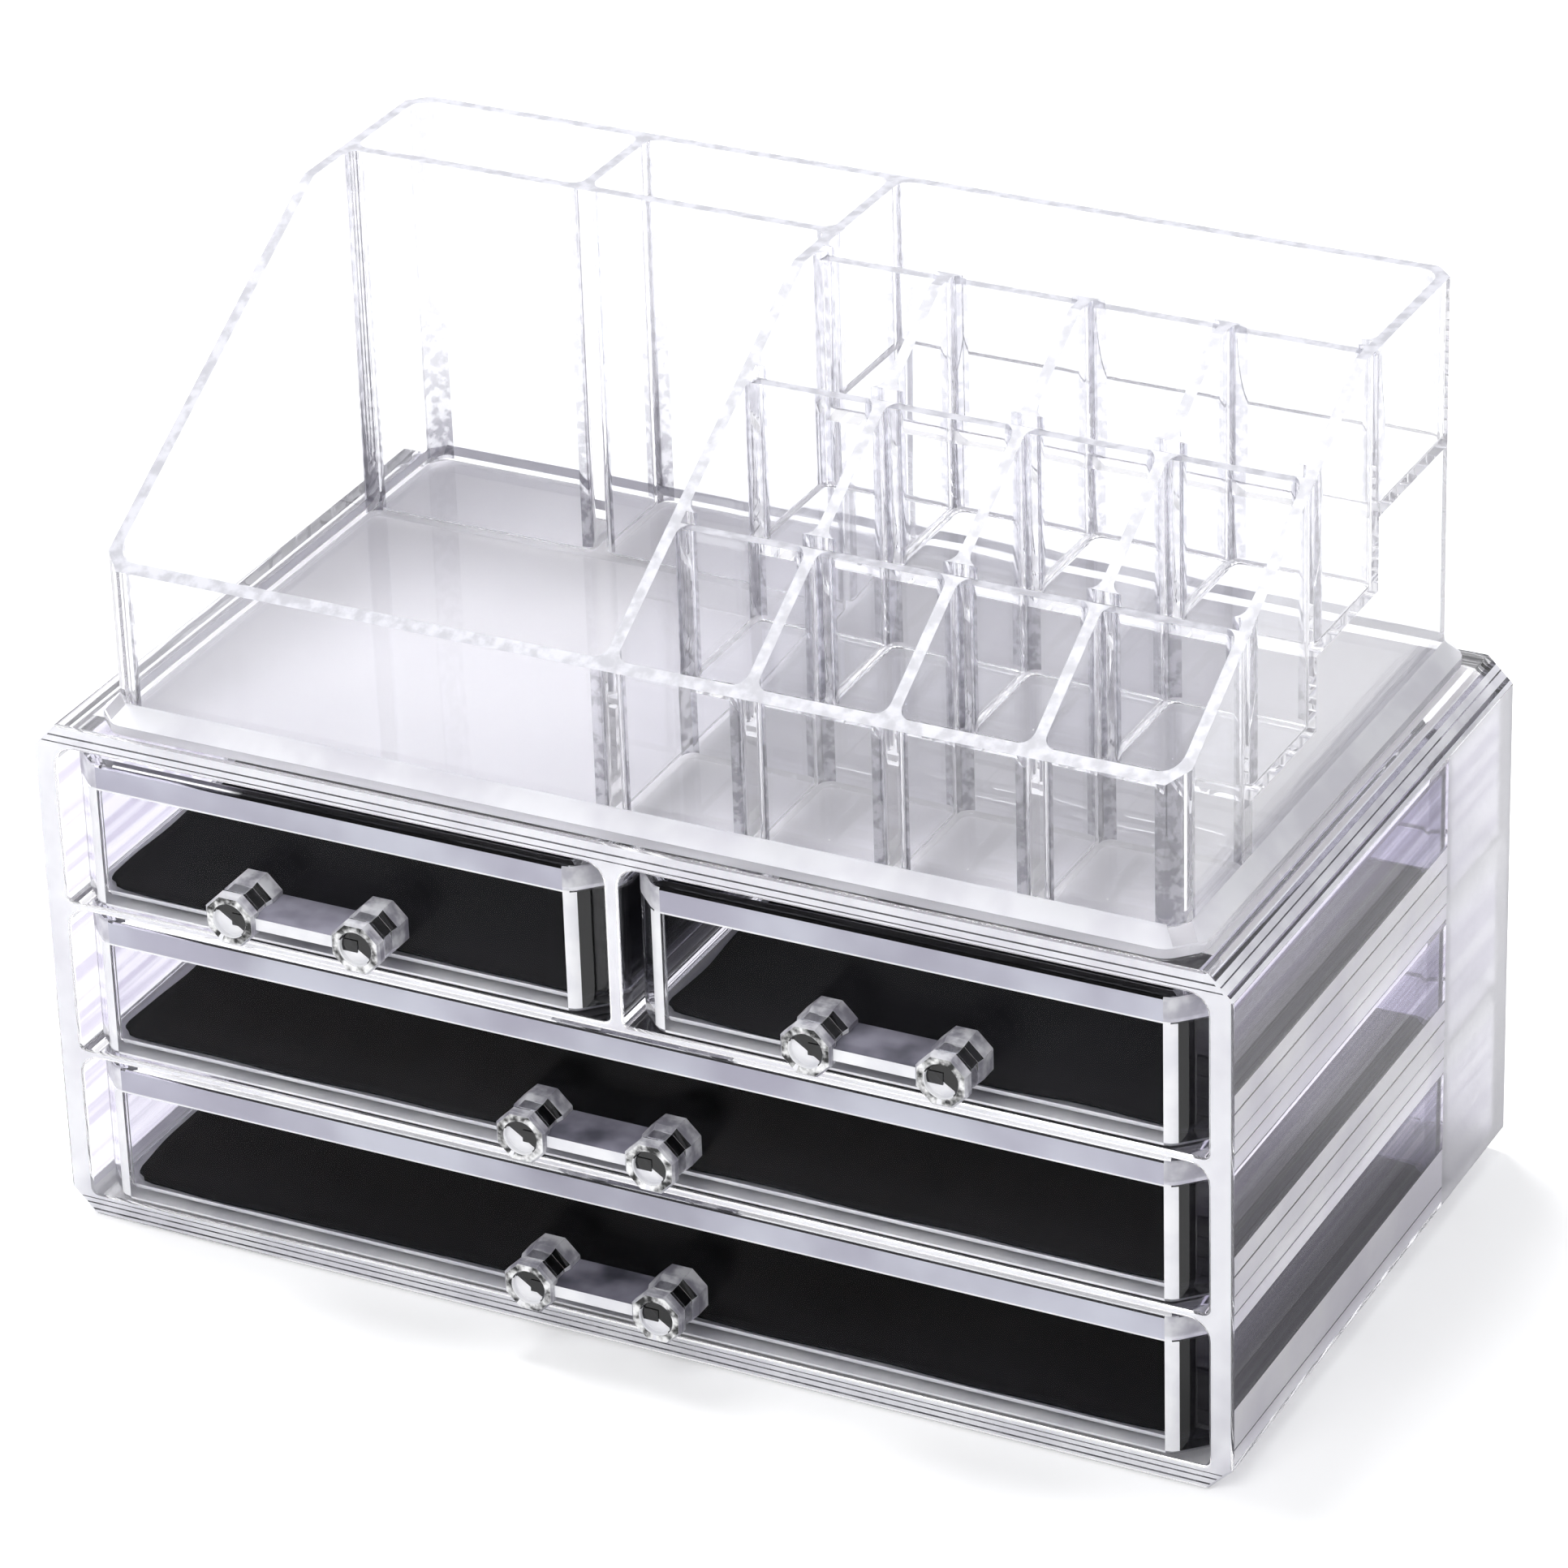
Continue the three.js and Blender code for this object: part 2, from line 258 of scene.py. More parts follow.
tier_steps = quarter((EDGE, depth), (0, depth - EDGE), "width") + [(0, depth - CEILING_PAINT_START)]
tier_steps += quarter((0, panel + BACK_FILLET), (-BACK_FILLET, panel), "height")
chest_sides = quarter((-EDGE, 0), (0, EDGE), "width") + quarter((0, depth - EDGE), (-EDGE, depth), "height")
chest_shape = Moulding().block(
    lambda grow: outline(chest_low[::2], chest_high[::2], cut=CHEST_CUT, soft=CHEST_SOFT, grow=grow),
    chest_sides,
    [(tier_pocket(low, high), tier_steps) for low, high in tiers],
)
FRONTWARD = Matrix(((1, 0, 0, 0), (0, 0, -1, chest_high[1]), (0, 1, 0, 0), (0, 0, 0, 1)))
chest_moulding = tidy_mesh(chest_shape.piece("chest_moulding", FRONTWARD))

# %% [markdown]
# The photograph shows the chest's front and its right side crossed by thin broken lines and by pale bands.
# They are edges and shelves seen at a slant, or mirrored inside a wall, and a rendering draws them in other
# places. So the flat faces are cut along straight lines here, and the strips get painted lines and bands of
# their
# own: painted reflections and painted light.
# A face, f in what follows, is known by where its middle lies, in millimetres, and by which way it looks.

# %% Faces and strips
FLAT, NEAR = 0.99, 0.1


class Spot:
    """A face: its middle and direction, its area in square millimetres, and whether it's still plain."""

    def __init__(self, middle, normal, area=0, plain=True):
        self.x, self.y, self.z = (part / MM for part in middle)
        self.nx, self.ny, self.nz = normal
        self.area, self.plain = area / MM**2, plain

    def between(self, strips):
        """Whether the face lies in one of the level strips."""
        return any(low < self.z < high for low, high in strips)


def cut_faces(piece, chosen, cuts):
    """Cuts the chosen faces along planes, each given by a point in millimetres and its normal."""
    work = bmesh.new()
    work.from_mesh(piece.data)
    for point, normal in cuts:
        faces = [f for f in work.faces if chosen(Spot(f.calc_center_median(), f.normal))]
        parts = {e for f in faces for e in f.edges} | {v for f in faces for v in f.verts} | set(faces)
        bmesh.ops.bisect_plane(work, geom=list(parts), plane_co=point * MM, plane_no=normal, dist=1e-7)
    work.to_mesh(piece.data)
    work.free()


def mark_strips(piece, axis, strips, chosen):
    """Cuts the chosen faces along the borders of strips that lie square to an axis."""
    across = Vector([float(i == axis) for i in range(3)])
    places = sorted({place for strip in strips for place in strip})
    cut_faces(piece, chosen, [(across * place, across) for place in places])


def at_front(f):
    return f.ny < -FLAT and f.y < chest_low[1] + NEAR


def at_right(f):
    return f.nx > 0.999 and f.x > chest_high[0] - NEAR


def at_top_cut(f):
    """The slanted faces between the chest's top and its sides."""
    return 0.5 < abs(f.nx) < 0.9 and f.nz > 0.5 and abs(f.x) > chest_high[0] - CHEST_CUT - 2


# %% [markdown]
# The strips' heights were read off the photograph. On the right side they stop where the drawers end,
# and what lies behind that line is painted an even pale haze.

# %% Strips of the chest
FRONT_LINES = [(1.0, 1.35), (2.3, 2.6), (3.4, 3.6)]
FRONT_LINES += [(ceiling + 0.9, ceiling + 1.15), (ceiling + 2.3, ceiling + 2.65)]
HAZE_BANDS = [(6.0, 17.5), (34.0, 49.0), (66.5, 81.5)]
SIDE_LINES = [(9.0, 9.3), (17.5, 18.0)]
SIDE_LINES += [(33.7, 34.0), (37.0, 37.3), (40.8, 41.0), (44.8, 45.2), (49.0, 49.5)]
SIDE_LINES += [(66.2, 66.5), (69.6, 69.9), (73.2, 73.4), (77.6, 78.0), (81.5, 82.1)]
TOP_LINES = [(99.6, 99.9), (100.6, 101.2), (102.3, 102.5), (103.4, 104.1)]
DRAWERS_END = chest_low[1] + 98
mark_strips(chest_moulding, 2, FRONT_LINES, at_front)
mark_strips(chest_moulding, 2, HAZE_BANDS + SIDE_LINES, at_right)
mark_strips(chest_moulding, 1, [(DRAWERS_END,)], at_right)
mark_strips(chest_moulding, 2, TOP_LINES, at_top_cut)
tidy_mesh(chest_moulding, turn_out=False)
shade(chest_moulding)
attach(chest_moulding, "chest")
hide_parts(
    "chest_sleeve",
    "chest_back_panel",
    "chest_lower_shelf",
    "chest_upper_shelf",
    "chest_partition",
)

# %% [markdown]
# ## The drawers
# A drawer is a shallow tub with flat-cut upright corners. A thicker band runs round its rim, for stiffness.
# Through the front it shows as a pale stripe between two bright lines; the stripe and the lower line are
# painted light.
# Its underside and its floor have small fillets, as any moulded tub has.

# %% Drawer tubs
DRAWERS = ("top_left", "top_right", "middle", "bottom")
TUB_WALL, TUB_FLOOR, TUB_CUT, TUB_ROUND = 2.0, 1.5, 6.0, 3.4
TUB_BASE_ROUND, TUB_FILLET, TUB_EDGE = 0.9, 1.4, 0.5
RIM_HEIGHT, RIM_WALL, RIM_EDGE, BAND_LINE = 5.2, 3.0, 0.4, 0.35


def drawer_tub(name):
    low, high = box_mm(f"drawer_{name}_box")
    bottom, top = low[2], high[2]
    floor, band = bottom + TUB_FLOOR, top - RIM_HEIGHT
    outside = quarter((-TUB_BASE_ROUND, bottom), (0, bottom + TUB_BASE_ROUND), "width")
    outside += quarter((0, top - TUB_EDGE), (-TUB_EDGE, top), "height")
    inside = quarter((-RIM_WALL + RIM_EDGE, top), (-RIM_WALL, top - RIM_EDGE), "width")
    inside += quarter((-RIM_WALL, band + 0.3), (-TUB_WALL, band - 0.5), "height")
    inside += quarter((-TUB_WALL, floor + TUB_FILLET), (-TUB_WALL - TUB_FILLET, floor), "height")
    shape = lambda grow: outline(low, high, cut=TUB_CUT, soft=TUB_ROUND, grow=grow)
    tub = tidy_mesh(Moulding().block(shape, outside, [(shape, inside)]).piece(f"drawer_{name}_tub"))
    mark_strips(tub, 2, [(band, band + BAND_LINE)], lambda f: f.ny < -0.5)
    tidy_mesh(tub, turn_out=False)
    shade(tub)
    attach(tub, f"drawer_{name}")
    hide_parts(f"drawer_{name}_box")
    return tub


tubs = {name: drawer_tub(name) for name in DRAWERS}

# %% [markdown]
# ## The handles
# Each handle is two stubby posts with a flat web between them. A post has eight flat sides, like a cut gem:
# it narrows at the waist, widens again at the head, and the head's face has a round recess.
# Rings of thirty-two points can be an octagon at one height and a circle at the next, so one stack makes
# a post. Each row of a profile is the distance from the drawer's face, and the width there.

# %% Posts
POST_SIDES, POST_POINTS = 8, 32
POST_PROFILE = [(0, 10), (3.8, 10), (5.2, 9), (7.8, 9), (9, 10), (10.5, 10), (10.95, 9.2)]
RECESS_PROFILE = [(10.95, 6.9), (10.75, 6.5), (10.0, 6.5), (9.8, 6.1)]
POST_SPACING = 26.2
half_post = POST_SPACING / 2


def post_ring(width, flat_sided):
    """Ring of a post: a circle, or an eight-sided figure that measures width across its flats."""
    step = 2 * math.pi / POST_SIDES
    ring = []
    for i in range(POST_POINTS):
        angle = 2 * math.pi * i / POST_POINTS + step / 2
        from_flat = (angle + step / 2) % step - step / 2
        reach = width / 2 / math.cos(from_flat) if flat_sided else width / 2
        ring.append((reach * math.cos(angle), reach * math.sin(angle)))
    return ring


def post_solid(name, x):
    shape = Moulding()
    rings = [shape.ring(post_ring(width, True), along) for along, width in POST_PROFILE]
    rings += [shape.ring(post_ring(width, False), along) for along, width in RECESS_PROFILE]
    shape.walls(rings)
    shape.faces += [tuple(reversed(rings[0])), tuple(rings[-1])]
    return shape.piece(name, Matrix.Translation((x, 0, 0)))


# %% [markdown]
# The two posts and the web must become one solid, because clear solids that overlap would show their
# hidden faces. A boolean joins them, and the new edges then get a small rounding.


# %% One handle
def join_solids(piece, others, operation="UNION"):
    """Boolean with Blender's manifold solver; the other solids are used up."""
    for other in others:
        step = piece.modifiers.new("join", "BOOLEAN")
        step.operation, step.solver, step.object = operation, "MANIFOLD", other
        flat = bpy.data.meshes.new_from_object(piece.evaluated_get(bpy.context.evaluated_depsgraph_get()))
        piece.modifiers.clear()
        piece.data = flat
        bpy.data.objects.remove(other)
    return piece


def soften_edges(piece, width, chosen):
    """Small rounding on the chosen edges."""
    work = bmesh.new()
    work.from_mesh(piece.data)
    bmesh.ops.remove_doubles(work, verts=work.verts, dist=0.002 * MM)
    bmesh.ops.dissolve_limit(work, angle_limit=math.radians(0.6), verts=work.verts, edges=work.edges)
    edges = [e for e in work.edges if len(e.link_faces) == 2 and chosen(e)]
    bmesh.ops.bevel(work, geom=edges, offset=width * MM, segments=2, affect="EDGES", clamp_overlap=True)
    print(piece.name, "rounded", len(edges), "edges")
    work.to_mesh(piece.data)
    work.free()


WEB_REACH, WEB_HALF, POST_EDGE = 10.0, 1.2, 0.22
web_shape = lambda grow: outline((-half_post, -WEB_HALF), (half_post, WEB_HALF), soft=0.1, grow=grow)
web = Moulding().block(web_shape, [(0, 0), (0, WEB_REACH)], [])
handle_pattern = post_solid("post_left", -half_post)
join_solids(handle_pattern, [post_solid("post_right", half_post), web.piece("web")])
soften_edges(handle_pattern, POST_EDGE, lambda edge: edge.calc_face_angle(0) > math.radians(15))

# %% [markdown]
# In the photograph the bottom of each recess is half dark and half pale, divided on a slant.
# The flat end of the recess is cut along that line, so that each half can have its own painted reflection,
# dark or pale.

# %% Divided recesses
RECESS_TILT, RECESS_SHIFT = (0.55, 0.83), -0.5


def recess_end(x):
    """Picks the flat end of the recess in the post at x."""
    end = RECESS_PROFILE[-1][0]
    return lambda f: f.nz > 0.9 and abs(f.z - end) < 0.01 and abs(f.x - x) < 4


slant = Vector((*RECESS_TILT, 0))
for x in (-half_post, half_post):
    cut_faces(handle_pattern, recess_end(x), [(Vector((x, 0, 0)) + slant * RECESS_SHIFT, slant)])
print("handle", [round(v / MM, 1) for v in handle_pattern.dimensions])

# %% [markdown]
# The four handles are copies of one pattern. Each sits a hair's breadth off its drawer's face,
# as a glued part does, so that the two clear surfaces don't lie in the same plane.

# %% Handles on their drawers
FACE_GAP = 0.04


def drawer_handle(name):
    low, high = box_mm(f"drawer_{name}_handle")
    handle = handle_pattern.copy()
    handle.data = handle_pattern.data.copy()
    handle.name = f"drawer_{name}_pull"
    bpy.context.collection.objects.link(handle)
    x, y, z = (low[0] + high[0]) / 2 * MM, (high[1] - FACE_GAP) * MM, (low[2] + high[2]) / 2 * MM
    place = Matrix(((1, 0, 0, x), (0, 0, -1, y), (0, 1, 0, z), (0, 0, 0, 1)))
    share = (high[1] - low[1] - FACE_GAP) / POST_PROFILE[-1][0]
    handle.data.transform(place @ Matrix.Diagonal((1, 1, min(share, 1), 1)))
    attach(handle, f"drawer_{name}")
    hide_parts(f"drawer_{name}_handle")
    return tidy_mesh(handle)


handles = {name: drawer_handle(name) for name in DRAWERS}
bpy.data.objects.remove(handle_pattern)

# %% [markdown]
# ## The liners
# A liner is a thin black pad, cut with scissors and simply laid in, so its edges wander a little
# and it doesn't lie quite flat. A fine grid makes it, moved by a few slow waves.
# The waves of its edges are weighted by a high power of the distance to the middle, so the rest lies still.

# %% Liners
LINER_STEP, LINER_CUT, LINER_THICK = 2.5, 3.4, 0.5
SIDE_WANDER, END_WANDER, EDGE_POWER = 1.6, 1.1, 8
LIES_AT, WAVE_SHARE, SLOW_WAVE, EDGE_CURL = 0.05, 0.4, 0.35, 0.5


def liner_point(low, size, u, v, index):
    """Point of a liner's top, at the shares u and v of its width and length."""
    x, y = low[0] + u * size[0], low[1] + v * size[1]
    seed = Vector((x * 0.021, y * 0.03, index * 7.3))
    edge_x, edge_y = (abs(u - 0.5) * 2) ** EDGE_POWER, (abs(v - 0.5) * 2) ** EDGE_POWER
    side_wave = 0.7 + noise.noise(Vector((y * 0.05, index, 1.7)))
    end_wave = 0.9 + noise.noise(Vector((x * 0.05, index, 4.1)))
    from_corner = size[0] * (0.5 - abs(u - 0.5)) + size[1] * (0.5 - abs(v - 0.5))
    corner = max(0, LINER_CUT - from_corner) / 2
    inward_x, inward_y = np.sign(0.5 - u), np.sign(0.5 - v)
    lift = SLOW_WAVE * (1 + noise.noise(seed))
    lift += EDGE_CURL * max(edge_x, edge_y) * (1 + noise.noise(seed * 3))
    x += SIDE_WANDER * side_wave * edge_x * inward_x + corner * inward_x
    y += END_WANDER * end_wave * edge_y * inward_y + corner * inward_y
    return x, y, low[2] + LIES_AT + WAVE_SHARE * lift


def drawer_liner(name, index):
    low, high = box_mm(f"drawer_{name}_liner")
    width, length = size = (high - low)[:2]
    columns, rows = int(width / LINER_STEP), int(length / LINER_STEP)
    shape = Moulding()
    for r in range(rows + 1):
        for c in range(columns + 1):
            shape.points.append(liner_point(low, size, c / columns, r / rows, index))
    starts = [r * (columns + 1) + c for r in range(rows) for c in range(columns)]
    shape.faces = [(i, i + 1, i + columns + 2, i + columns + 1) for i in starts]
    pad = shape.piece(f"drawer_{name}_pad")
    pad.data.shade_smooth()
    thick = pad.modifiers.new("thickness", "SOLIDIFY")
    thick.thickness, thick.offset = LINER_THICK * MM, 1
    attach(pad, f"drawer_{name}")
    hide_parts(f"drawer_{name}_liner")
    print(pad.name, "flat", round(width, 1), "x", round(length, 1), "mm")
    return pad


pads = {name: drawer_liner(name, i) for i, name in enumerate(DRAWERS)}

# %% [markdown]
# ## The tray
# The tray is one deep moulding. Its walls stand on a wide thin foot and its rim slopes down to the front.
# It has two narrow bays for brushes at the back left, a wide bay in front of them, a shallow bay
# at the back right and twelve lipstick cells whose floors step up towards the back.
# The block with its pockets comes from rings again, all open at the full height.
# Then booleans cut the slope, lower the walls between the rows and hollow out the space under the steps.

# %% Tray places
foot_low, foot_high = box_mm("tray_base")
middle_wall, tall_wall = box_mm("tray_middle_wall"), box_mm("tray_tall_wall")
tall_divider, rear_floor = box_mm("tray_tall_divider"), box_mm("tray_rear_bay_floor")
FOOT_WIDTH, FOOT_RISE, TRAY_CUT = 3.3, 2.8, 3.55
TRAY_FRONT_HEIGHT, TRAY_FLAT = 32, 42.5
tray_base_top = foot_high[2]
tray_top = middle_wall[1][2]
thin = middle_wall[1][0] - middle_wall[0][0]
tray_low = np.array([foot_low[0] + FOOT_WIDTH, foot_low[1] + FOOT_WIDTH, foot_low[2]])
tray_high = np.array([foot_high[0] - FOOT_WIDTH, foot_high[1] - FOOT_WIDTH, tray_top])
in_low, in_high = tray_low[:2] + thin, tray_high[:2] - thin
slope_y = tray_high[1] - TRAY_FLAT
ROWS = (1, 2, 3)
row_walls = [box_mm(f"rack_row_{row}_wall") for row in ROWS]
row_dividers = [[box_mm(f"rack_row_{row}_divider_{i}") for i in (1, 2, 3)] for row in ROWS]
print("tray", (tray_high - tray_low).round(1), "walls", round(thin, 2))

# %% [markdown]
# Where two walls meet, the moulding has a generous fillet, which shows as a pale upright strip.
# It is larger still where a pocket follows the tray's own cut corner.

# %% Tray pockets
CELL_FILLET, CELL_ROUND, CORNER_ROUND = 0.9, 2.4, 3.8


def tray_pocket(low, high, floor):
    """Upright pocket from the full height down to a floor; a corner at the tray's own corner is rounder."""
    (x0, y0), (x1, y1) = low, high
    corners = [(x0, y0), (x1, y0), (x1, y1), (x0, y1)]
    at_corner = [x in (in_low[0], in_high[0]) and y in (in_low[1], in_high[1]) for x, y in corners]
    radii = [CORNER_ROUND if meets else CELL_ROUND for meets in at_corner]
    steps = [(0, tray_top), (0, tray_top - 1)]
    steps += quarter((0, floor + CELL_FILLET), (-CELL_FILLET, floor), "height")
    return (lambda grow: outline(low, high, soft=radii, grow=grow)), steps


bays = [
    (in_low, (middle_wall[0][0], tall_wall[0][1]), tray_base_top),
    ((in_low[0], tall_wall[1][1]), (tall_divider[0][0], in_high[1]), tray_base_top),
    ((tall_divider[1][0], tall_wall[1][1]), (middle_wall[0][0], in_high[1]), tray_base_top),
    ((middle_wall[1][0], rear_floor[0][1]), in_high, rear_floor[1][2]),
]
for row, (dividers, back) in enumerate(zip(row_dividers, row_walls)):
    front = in_low[1] if row == 0 else row_walls[row - 1][1][1]
    edges = [middle_wall[1][0]] + [x for d in dividers for x in (d[0][0], d[1][0])] + [in_high[0]]
    floor = dividers[0][0][2]
    for left, right in zip(edges[::2], edges[1::2]):
        bays.append(((left, front), (right, back[0][1]), floor))
print(len(bays), "pockets in the tray")

# %% [markdown]
# The outside starts with a thin foot that flares out from under the walls.
# The tray stands a hair above the chest, so that their two clear faces don't lie in one plane.

# %% Tray block
STAND_GAP = 0.08
underside = foot_low[2] + STAND_GAP
foot = quarter((FOOT_WIDTH - 0.4, underside), (FOOT_WIDTH, underside + 0.4), "width")
foot += quarter((FOOT_WIDTH, tray_base_top - 0.3), (FOOT_WIDTH - 0.3, tray_base_top + 0.1), "height")
foot += [(0.35, tray_base_top + FOOT_RISE - 0.3), (0, tray_base_top + FOOT_RISE + 0.2), (0, tray_top)]
tray_shape = Moulding().block(
    lambda grow: outline(tray_low, tray_high, cut=TRAY_CUT, soft=0.5, grow=grow),
    foot,
    [tray_pocket(low, high, floor) for low, high, floor in bays],
)
tray_moulding = tidy_mesh(tray_shape.piece("tray_moulding"))

# %% [markdown]
# A cutter is a prism with a flat outline, which is drawn in (y, z). The prisms run across the tray.

# %% Tray cuts
SPARE, OVERLAP = 5, 0.03
front_rim = foot_low[2] + TRAY_FRONT_HEIGHT


def prism(name, outline_yz, left, right):
    count = len(outline_yz)
    shape = Moulding()
    shape.points = [(x, y, z) for x in (left, right) for y, z in outline_yz]
    shape.faces = [tuple(range(count)), tuple(reversed(range(count, 2 * count)))]
    for i in range(count):
        j = (i + 1) % count
        shape.faces.append((i, count + i, count + j, j))
    return tidy_mesh(shape.piece(name))


def row_cut(name, low, high):
    """Cutter for what stands above the wall behind a row of cells."""
    front, back, above = low[1] - OVERLAP, high[1] + OVERLAP, tray_top + SPARE
    return prism(name, [(front, high[2]), (back, high[2]), (back, above), (front, above)], low[0], high[0])


slope_plan = [(foot_low[1] - SPARE, front_rim), (tray_low[1], front_rim), (slope_y, tray_top)]
slope_plan += [(slope_y, tray_top + SPARE), (foot_low[1] - SPARE, tray_top + SPARE)]
slope_cut = prism("slope_cut", slope_plan, foot_low[0] - SPARE, foot_high[0] + SPARE)
row_cuts = [row_cut(f"row_cut_{i}", low, high) for i, (low, high) in enumerate(row_walls)]
step_plan = [(row_walls[0][1][1], tray_base_top)]
for i, row in enumerate(ROWS[1:]):
    step = box_mm(f"rack_row_{row}_floor")[0][2]
    step_plan += [(row_walls[i][1][1], step), (row_walls[i + 1][1][1], step)]
step_plan += [(row_walls[2][1][1], rear_floor[0][2]), (in_high[1], rear_floor[0][2])]
step_plan += [(in_high[1], tray_base_top)]
step_hollow = prism("step_hollow", step_plan, middle_wall[1][0], in_high[0])
join_solids(tray_moulding, [slope_cut, *row_cuts, step_hollow], "DIFFERENCE")

# %% [markdown]
# The cut rims are rounded last, as the rim of a real moulding is. The floors keep their own fillets.

# %% Tray rims
RIM_ROUND, LOWEST_RIM = 0.35, 25


def on_rim(edge):
    """Outward edges along the top of a wall, but not those of the floors."""
    tops = [face for face in edge.link_faces if face.normal.z > 0.5]
    high = min(v.co.z for v in edge.verts) > (foot_low[2] + LOWEST_RIM) * MM
    return bool(tops) and high and edge.is_convex and edge.calc_face_angle(0) > math.radians(25)


soften_edges(tray_moulding, RIM_ROUND, on_rim)
tidy_mesh(tray_moulding, turn_out=False)
shade(tray_moulding)
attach(tray_moulding, "tray")
tray_nodes = ["tray_base", "tray_outer_wall", "tray_middle_wall", "tray_tall_wall", "tray_tall_divider"]
tray_nodes += ["tray_rear_bay_floor", "rack_row_2_floor", "rack_row_3_floor"]
tray_nodes += [f"rack_row_{row}_wall" for row in ROWS]
tray_nodes += [f"rack_row_{row}_divider_{i}" for row in ROWS for i in (1, 2, 3)]
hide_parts(*tray_nodes)

# %% [markdown]
# ## Materials
# Shader graphs read best as sums and products. The class below wraps one output socket,
# so that `height * 0.6 + mottle * 0.4` adds the Math nodes by itself.


# %% Shader arithmetic
class Value:
    """A number inside a shader graph."""

    def __init__(self, graph, socket):
        self.graph, self.socket = graph, socket

    def _math(self, operation, a, b):
        node = self.graph.node("ShaderNodeMath", {0: a, 1: b}, operation=operation)
        return Value(self.graph, node.outputs[0])

    def __add__(self, other):
        return self._math("ADD", self, other)

    __radd__ = __add__

    def __mul__(self, other):
        return self._math("MULTIPLY", self, other)

    def __gt__(self, other):
        return self._math("GREATER_THAN", self, other)

    def smooth(self, low, high):
        """0 below low, 1 above high, with a soft step between."""
        sockets = {"Value": self, "From Min": low, "From Max": high}
        node = self.graph.node("ShaderNodeMapRange", sockets, interpolation_type="SMOOTHSTEP")
        return Value(self.graph, node.outputs["Result"])


# %% [markdown]
# A second class holds the graph. It has short names for what most finishes need: a place on the object,
# a noise, a bump, and a mix of two colours.


# %% Shader graphs
class Graph:
    """Node graph of a material or of the world."""

    def __init__(self, owner):
        owner.use_nodes = True
        self.owner, self.tree = owner, owner.node_tree
        self.tree.nodes.clear()

    def node(self, kind, sockets=None, **settings):
        """Adds a node: its settings first, then the values or links of its sockets."""
        node = self.tree.nodes.new(kind)
        for key, value in settings.items():
            setattr(node, key, value)
        for key, value in (sockets or {}).items():
            value = value.socket if isinstance(value, Value) else value
            if isinstance(value, bpy.types.NodeSocket):
                self.tree.links.new(value, node.inputs[key])
            else:
                node.inputs[key].default_value = value
        return node

    def mix(self, factor, a, b):
        """Colour between a and b, each of which is three numbers or a socket."""
        a, b = (colour if isinstance(colour, bpy.types.NodeSocket) else (*colour, 1) for colour in (a, b))
        return self.node("ShaderNodeMix", {0: factor, 6: a, 7: b}, data_type="RGBA").outputs[2]

    def noise(self, scale, detail, point):
        sockets = {"Scale": scale, "Detail": detail, "Vector": point}
        return Value(self, self.node("ShaderNodeTexNoise", sockets).outputs[0])

    def bump(self, strength, distance, height):
        sockets = {"Strength": strength, "Distance": distance, "Height": height}
        return self.node("ShaderNodeBump", sockets).outputs[0]

    def place(self):
        """Point on the object, in metres."""
        return self.node("ShaderNodeTexCoord").outputs["Object"]

    def axes(self, vector):
        """The three numbers of a vector."""
        return [Value(self, socket) for socket in self.node("ShaderNodeSeparateXYZ", {0: vector}).outputs]

    def ray(self, kind):
        """1 for rays of one kind, 0 for others."""
        return Value(self, self.node("ShaderNodeLightPath").outputs[f"Is {kind} Ray"])

    def surface(self, sockets):
        """Makes one Principled shader the whole surface, and returns the material."""
        shader = self.node("ShaderNodeBsdfPrincipled", sockets)
        self.node("ShaderNodeOutputMaterial", {"Surface": shader.outputs[0]})
        return self.owner


# %% [markdown]
# The plastic is clear polystyrene: it bends light a little more than acrylic does, and its tint is faint,
# so only light that has passed through many walls turns lavender grey.
# Real mouldings aren't optically flat. A weak ripple makes the reflections waver, and hands leave smudges.
# Large flat faces get a lower index than the plastic has. That isn't how it bends light, but it keeps them
# from mirroring the walls behind, and the photograph, which was retouched, hardly shows such mirror images.

# %% Clear plastic
PLASTIC_IOR, SIDE_IOR, FRONT_IOR, GAP_IOR = 1.5, 1.25, 1.1, 1.2


def clear_plastic(name, tint, ripple, ior=PLASTIC_IOR):
    graph = Graph(bpy.data.materials.new(name))
    place = graph.place()
    pale = [min(1.0, part + 0.012) for part in tint]
    smudge = graph.noise(45.0, 4.0, place).smooth(0.56, 0.75)
    return graph.surface(
        {
            "Base Color": graph.mix(graph.noise(18.0, 3.0, place), tint, pale),
            "Roughness": smudge * 0.02,
            "IOR": ior,
            "Transmission Weight": 1.0,
            "Normal": graph.bump(ripple, 0.001, graph.noise(26.0, 2.0, place)),
        }
    )


chest_clear = clear_plastic("chest_clear_plastic", (0.97, 0.97, 0.985), 0.05)
tray_clear = clear_plastic("tray_clear_plastic", (0.975, 0.975, 0.99), 0.05)
tub_clear = clear_plastic("drawer_clear_plastic", (0.88, 0.88, 0.925), 0.05)
front_clear = clear_plastic("drawer_front_quiet_plastic", (0.98, 0.98, 0.99), 0.03, FRONT_IOR)
handle_clear = clear_plastic("handle_clear_plastic", (0.98, 0.98, 0.99), 0.02)
left_clear = clear_plastic("left_side_quiet_plastic", (0.88, 0.87, 0.91), 0.04, SIDE_IOR)

# %% [markdown]
# Through the chest's right side the photograph shows long level streaks, which are the many edges
# of the drawers and shelves behind each other. Noise that is stretched far along the depth paints the same
# streaks on the sides: painted images of those edges, dark and pale.

# %% Streaked sides
STREAKS = (0.0, 5.0, 330.0)


